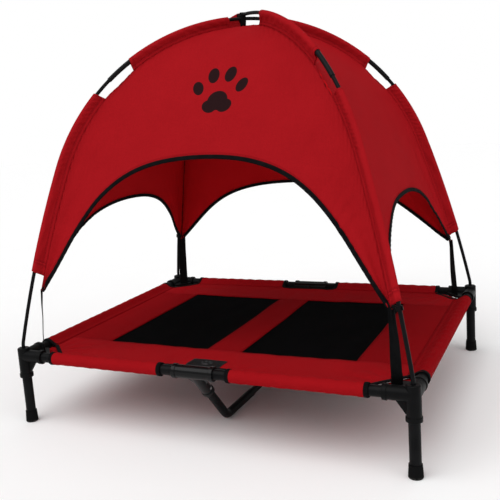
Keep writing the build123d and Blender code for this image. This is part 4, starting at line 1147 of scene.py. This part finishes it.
def bed_cover():
    """Deck cloth with its two windows, and the pockets that go round the rails."""
    reach_x, reach_y = HALF_X - POCKET_SEAM, HALF_Y - POCKET_SEAM
    xs = spaced([-reach_x, -WINDOW_X, -STRIP_HALF, STRIP_HALF, WINDOW_X, reach_x], 0.0062)
    ys = spaced([-reach_y, -WINDOW_Y, WINDOW_Y, reach_y], 0.0062)
    verts, faces, kinds = [], [], []
    maps = {"weave": [], "band_run": [], "window_run": [], "rail_run": []}
    far_away = 1.0
    no_row = (0.0, far_away)

    def add_vertex(point, weave, band_run=no_row, window_run=no_row, rail_run=no_row):
        verts.append(point)
        for key, value in zip(maps, (weave, band_run, window_run, rail_run)):
            maps[key].append(value)
        return len(verts) - 1

    index_of = {}
    for i, x in enumerate(xs):
        for j, y in enumerate(ys):
            distance, pull = notch_distance(x, y)
            if distance < -0.0036:
                continue
            px, py = x, y
            if distance < 0.0026:
                px, py = x - pull.x * distance, y - pull.y * distance
            edge_x, edge_y = HALF_X - abs(x), HALF_Y - abs(y)
            crosswise = abs(y) < WINDOW_Y
            window = window_distance(x) if abs(y) <= WINDOW_Y + 0.001 else far_away
            rail = (x, edge_y - POCKET_SEAM) if edge_y < edge_x else (y, edge_x - POCKET_SEAM)
            index_of[i, j] = add_vertex(
                Vector((px, py, deck_height(px, py))), (y, x) if crosswise else (x, y),
                (x, abs(y) - WINDOW_Y), (y, window), rail)
    for i in range(len(xs) - 1):
        for j in range(len(ys) - 1):
            middle_x, middle_y = (xs[i] + xs[i + 1]) / 2, (ys[j] + ys[j + 1]) / 2
            corners = [index_of.get(key) for key in ((i, j), (i + 1, j), (i + 1, j + 1), (i, j + 1))]
            if None in corners or in_window(middle_x, middle_y):
                continue
            faces.append(tuple(corners))
            # Faces across the ends and the middle strip take slot 1, the bed cloth painted darker as shade.
            kinds.append(1 if abs(middle_y) < WINDOW_Y else 0)

    def pocket(end_a, end_b, along, inward, origin, seed, kind):
        """One rail pocket from end_a to end_b along a rail."""
        section = round_a_rail((POCKET_SEAM + 0.006, 0.0012), range(1, 7), 7, 12)
        section.insert(1, (POCKET_SEAM, 0.0014))
        section.insert(-1, (POCKET_SEAM, -0.0014))
        runs = running_length(section)
        rows = max(8, int(abs(end_b - end_a) / 0.006))
        base = len(verts)
        for row in range(rows + 1):
            at = mix(end_a, end_b, row / rows)
            near_end = min(abs(at - end_a), abs(end_b - at))
            for (a, b), around in zip(section, runs):
                flank = smooth(POCKET_SEAM, POCKET_SEAM * 0.6, a) * smooth(-COVER_R, 0.004, a)
                dents = 0.0011 * ripple(at * 30, a * 60 + (7 if b > 0 else 3), seed)
                dents += 0.0009 * math.sin(at * 2 * math.pi / 0.031 + 2 * ripple(at * 9, 2.2, seed))
                dents += 0.0012 * math.exp(-near_end / 0.022) * math.sin(at * 2 * math.pi / 0.017 + 40 * a)
                b_out = b + (1 if b > 0 else -1) * dents * flank
                add_vertex(on_cover(origin + along * at + inward * a, a, b_out), (at, around),
                           rail_run=(at, a - POCKET_SEAM))
        made = grid_faces(rows + 1, len(section), start=base, flip=along.cross(inward).z < 0)
        faces.extend(made)
        kinds.extend([kind] * len(made))

    end_x, end_y = HALF_X - NOTCH_REACH, HALF_Y - NOTCH_REACH
    for side_y in (-1, 1):
        for side_x in (-1, 1):
            pocket(CENTRE_NOTCH_HALF, end_x, Vector((side_x, 0, 0)), Vector((0, -side_y, 0)),
                   Vector((0, side_y * HALF_Y, RAIL_Z)), 31 + side_x + 3 * side_y, 0)
    for side_x in (-1, 1):
        pocket(-end_y, end_y, Vector((0, side_x, 0)), Vector((-side_x, 0, 0)),
               Vector((side_x * HALF_X, 0, RAIL_Z)), 47 + side_x, 1)
    for side_x, side_y in CORNERS.values():
        base = len(verts)
        for row in range(5):
            reach = mix(0.078, 0.112, row / 4)
            for column in range(13):
                dx = mix(0.016, reach - 0.016, column / 12)
                point = Vector((side_x * (HALF_X - dx), side_y * (HALF_Y - reach + dx),
                                RAIL_Z - 0.0055 + 0.0012 * ripple(dx * 60, reach * 40, side_x + 2 * side_y)))
                add_vertex(point, (point.x, point.y))
        faces.extend(grid_faces(5, 13, start=base, flip=side_x * side_y > 0))
        kinds.extend([0] * 48)
    # The second finish is the bed cloth painted darker as shade.
    piece = make_piece("bed_cloth", verts, faces, "frame", [bed_cloth, bed_end_shaded_cloth],
                       maps, kinds)
    thicken(piece, COVER_T, 0.0)
    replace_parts(piece, "bed_cover")
    return piece


def mesh_window(name, side_x):
    """Open mesh sewn under the deck cloth's window."""
    tuck = 0.009
    columns, rows = 44, 66
    verts, weave = [], []
    for column in range(columns + 1):
        x = side_x * mix(STRIP_HALF - tuck, WINDOW_X + tuck, column / columns)
        for row in range(rows + 1):
            y = mix(-WINDOW_Y - tuck, WINDOW_Y + tuck, row / rows)
            verts.append(Vector((x, y, deck_height(x, y) - 0.0013)))
            weave.append((x, y))
    faces = grid_faces(columns + 1, rows + 1, flip=side_x > 0)
    piece = make_piece("open_mesh_" + name, verts, faces, "frame", [mesh_cloth], {"weave": weave})
    thicken(piece, 0.0008, 0.0)
    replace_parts(piece, "mesh_panel_" + name)
    return piece


def flat_tape(points, cloth_side):
    """Stations of a U-shaped tape along a notch edge; cloth_side tells which side the cloth is on."""
    stations = []
    for index, point in enumerate(points):
        before, after = beside(points, index)
        run = (after - before).normalized()
        across = run.cross(Vector((0, 0, 1))) * cloth_side
        up = across.cross(run) * cloth_side
        stations.append((point, across.normalized(), up.normalized()))
    return stations


def rounded(points, radius, steps=8):
    """Plan points with their corners rounded."""
    found = [points[0]]
    for before, corner, after in zip(points, points[1:], points[2:]):
        into, out = (corner - before).normalized(), (after - corner).normalized()
        half = math.acos(max(-1.0, min(1.0, into.dot(out)))) / 2
        back = radius * math.tan(half)
        start = corner - into * back
        centre = corner + (out - into).normalized() * (radius / math.cos(half))
        first = start - centre
        turn = 2 * half * (1 if into.cross(out) > 0 else -1)
        for index in range(steps + 1):
            found.append(centre + Matrix.Rotation(turn * index / steps, 2) @ first)
    found.append(points[-1])
    return found


TAPE_TOP = [(TAPE_W, 0.0004), (TAPE_W - 0.0005, 0.0014), (0.004, 0.0017), (0.0004, 0.0017), (-0.0009, 0.0009)]
TAPE_SECTION = TAPE_TOP + [(-0.0012, 0.0)] + [(a, -b) for a, b in reversed(TAPE_TOP)]


def end_ring(end, along, inward, origin):
    """Vertices of the tape round the end of a rail pocket."""
    profile = round_a_rail((POCKET_SEAM + 0.004, 0.0016), range(8), 8, 14)
    rings = ((0.008, 0.0004), (0.0076, 0.0014), (0.004, 0.0017), (0.0004, 0.0017), (-0.0010, 0.0009),
             (-0.0012, 0.0), (-0.0006, -0.0012), (0.003, -0.0013))
    verts, run = [], []
    for index, ((a, b), travelled) in enumerate(zip(profile, running_length(profile))):
        before, after = beside(profile, index)
        way = Vector((after[0] - before[0], after[1] - before[1])).normalized()
        for back, proud in rings:
            point = origin + along * (end + back) + inward * (a + way.y * proud)
            verts.append(on_cover(point, a, b - way.x * proud))
            run.append((travelled, max(0.0, back)))
    return verts, run, len(profile), len(rings)


def cover_tapes():
    """Tape round the four corner notches and the two centre notches."""
    verts, faces, run = [], [], []

    def add_band(plan, radius, cloth_side):
        points = []
        for spot in rounded(plan, radius):
            a = min(HALF_X - abs(spot.x), HALF_Y - abs(spot.y))
            points.append(raised(spot, deck_height(spot.x, spot.y) + pocket_height(a)))
        faces.extend(tube_faces(len(points), len(TAPE_SECTION), flip=cloth_side > 0, start=len(verts)))
        for (point, across, up), travelled in zip(flat_tape(points, cloth_side), running_length(points)):
            for a, b in TAPE_SECTION:
                verts.append(point + across * a + up * b)
                run.append((travelled, max(0.0, a)))

    def add_ring(end, along, inward, origin):
        ring_verts, ring_run, rows, count = end_ring(end, along, inward, origin)
        base = len(verts)
        verts.extend(ring_verts)
        run.extend(ring_run)
        faces.extend(grid_faces(rows, count, start=base, flip=along.cross(inward).z < 0))

    end_x, end_y = HALF_X - NOTCH_REACH, HALF_Y - NOTCH_REACH
    for side_x, side_y in CORNERS.values():
        leg = Vector((side_x * HALF_X, side_y * HALF_Y))
        way_x, way_y = Vector((-side_x, 0)), Vector((0, -side_y))
        plan = [leg + way_x * NOTCH_REACH + way_y * 0.004,
                leg + way_x * NOTCH_REACH + way_y * NOTCH_SHOULDER,
                leg + way_x * NOTCH_SHOULDER + way_y * NOTCH_REACH,
                leg + way_x * 0.004 + way_y * NOTCH_REACH]
        add_band(plan, 0.018, side_x * side_y)
        add_ring(-end_x, Vector((-side_x, 0, 0)), Vector((0, -side_y, 0)), Vector((0, side_y * HALF_Y, RAIL_Z)))
        add_ring(-end_y, Vector((0, -side_y, 0)), Vector((-side_x, 0, 0)), Vector((side_x * HALF_X, 0, RAIL_Z)))
    for side_y in (-1, 1):
        rail = Vector((0, side_y * HALF_Y))
        way = Vector((0, -side_y))
        half = Vector((CENTRE_NOTCH_HALF, 0))
        plan = [rail - half + way * 0.004, rail - half + way * CENTRE_NOTCH_DEPTH,
                rail + half + way * CENTRE_NOTCH_DEPTH, rail + half + way * 0.004]
        add_band(plan, 0.012, side_y)
        for side_x in (-1, 1):
            add_ring(CENTRE_NOTCH_HALF, Vector((side_x, 0, 0)), Vector((0, -side_y, 0)),
                     Vector((0, side_y * HALF_Y, RAIL_Z)))
    piece = make_piece("notch_tapes", verts, faces, "frame", [edge_tape], {"run": run})
    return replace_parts(piece, "cover_bindings")


def label_patch():
    """Woven patch sewn on by the front centre joint."""
    low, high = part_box("cover_label")
    middle = (low + high) / 2
    half_w, half_h, corner = (high.x - low.x) / 2, (high.y - low.y) / 2, 0.003
    columns, rows = 40, 22
    verts, weave, rim = [], [], []
    for column in range(columns + 1):
        for row in range(rows + 1):
            x = mix(-half_w, half_w, column / columns)
            y = mix(-half_h, half_h, row / rows)
            over_x, over_y = abs(x) - (half_w - corner), abs(y) - (half_h - corner)
            if over_x > 0 and over_y > 0 and math.hypot(over_x, over_y) > corner:
                shrink = corner / math.hypot(over_x, over_y)
                x = math.copysign(half_w - corner + over_x * shrink, x)
                y = math.copysign(half_h - corner + over_y * shrink, y)
            edge = min(half_w - abs(x), half_h - abs(y))
            swell = 0.0004 * smooth(0.0, 0.003, edge) - 0.0004
            at_x, at_y = middle.x + x, middle.y + y
            verts.append(Vector((at_x, at_y, deck_height(at_x, at_y) + COVER_T / 2 + 0.0009 + swell)))
            weave.append((x, y))
            rim.append((x if half_h - abs(y) < half_w - abs(x) else y, edge))
    faces = grid_faces(columns + 1, rows + 1, flip=True)
    piece = make_piece("cover_patch", verts, faces, "frame", [patch_cloth],
                       {"weave": weave, "rim": rim})
    thicken(piece, 0.0008, -1.0)
    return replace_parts(piece, "cover_label")


# ---------------------------------------------------------------- assembly
straps = {corner: corner_strap(corner) for corner in CORNERS}
pockets = {corner: pole_pocket(corner) for corner in CORNERS}
seam_tape_piece = inside_seam_tapes()
tie_piece = crossing_tie()
STRAPS_WITH = {"front": ["front_left", "front_right"], "back": ["back_left", "back_right"]}
for side_name in SIDES:
    panel, flat_size, flat_area = canopy_panel(side_name)
    trim = arch_trim(side_name)
    extras = [trim] + [straps[corner] for corner in STRAPS_WITH.get(side_name, [])]
    if side_name == "front":
        extras += [seam_tape_piece, tie_piece]

cover = bed_cover()
notch_tape_piece = cover_tapes()
patch = label_patch()
mesh_window("left", -1)
mesh_window("right", 1)


# ---------------------------------------------------------------- floor, light and camera
def stage_floor():
    """Plain pale floor, wide enough that its edge is out of sight."""
    mesh = bpy.data.meshes.new("floor")
    half = 9.0
    mesh.from_pydata([(-half, -half, 0), (half, -half, 0), (half, half, 0), (-half, half, 0)], [], [(0, 1, 2, 3)])
    n = Finish("pale floor", Specular_IOR_Level=0.1)
    grain = n.cloudy(n.here(), 6.0, 3.0)
    mesh.materials.append(n.done(n.colours(grain, grey(0.97, 0.97), grey(0.985, 0.985)), 0.8 + grain * 0.1))
    add_to_scene("floor", mesh)


def soft_sun(name, toward, strength, spread):
    """Even light from one direction, as soft as a large diffuser."""
    data = bpy.data.lights.new(name, "SUN")
    data.energy, data.angle = strength, math.radians(spread)
    lamp = add_to_scene(name, data)
    lamp.rotation_mode = "QUATERNION"
    lamp.rotation_quaternion = (-Vector(toward)).to_track_quat("-Z", "Y")
    lamp.location = Vector(toward) * 4


def studio():
    """White surroundings that look brighter than the light they give, and two broad lights."""
    world = bpy.data.worlds.new("studio")
    bpy.context.scene.world = world
    world.use_nodes = True
    n = Nodes(world.node_tree)
    background = world.node_tree.nodes["Background"]
    background.inputs["Color"].default_value = (1.0, 1.0, 1.0, 1.0)
    seen = n.add("LightPath", out="Is Camera Ray")
    n.feed(background.inputs["Strength"], 0.50 + seen * 0.50)
    soft_sun("key light", (-0.20, -0.50, 0.86), 1.70, 60)
    soft_sun("side light", (0.80, -0.20, 0.50), 0.50, 60)


def corner_camera():
    """Camera at standing height in front of the right corner, turned a little to the left."""
    yaw, pitch, roll = math.radians(26.6), math.radians(9.9), math.radians(-4.3)
    data = bpy.data.cameras.new("camera")
    data.sensor_width, data.lens = 36.0, 53.04
    data.shift_x, data.shift_y = 0.0574, -0.017
    camera = add_to_scene("camera", data)
    aim = Matrix.Rotation(yaw, 4, "Z") @ Matrix.Rotation(math.pi / 2 - pitch, 4, "X") @ Matrix.Rotation(roll, 4, "Z")
    camera.matrix_world = Matrix.Translation((0.7077, -1.6090, 0.6723)) @ aim
    bpy.context.scene.camera = camera


stage_floor()
studio()
corner_camera()
bpy.context.scene.view_settings.view_transform = "Standard"
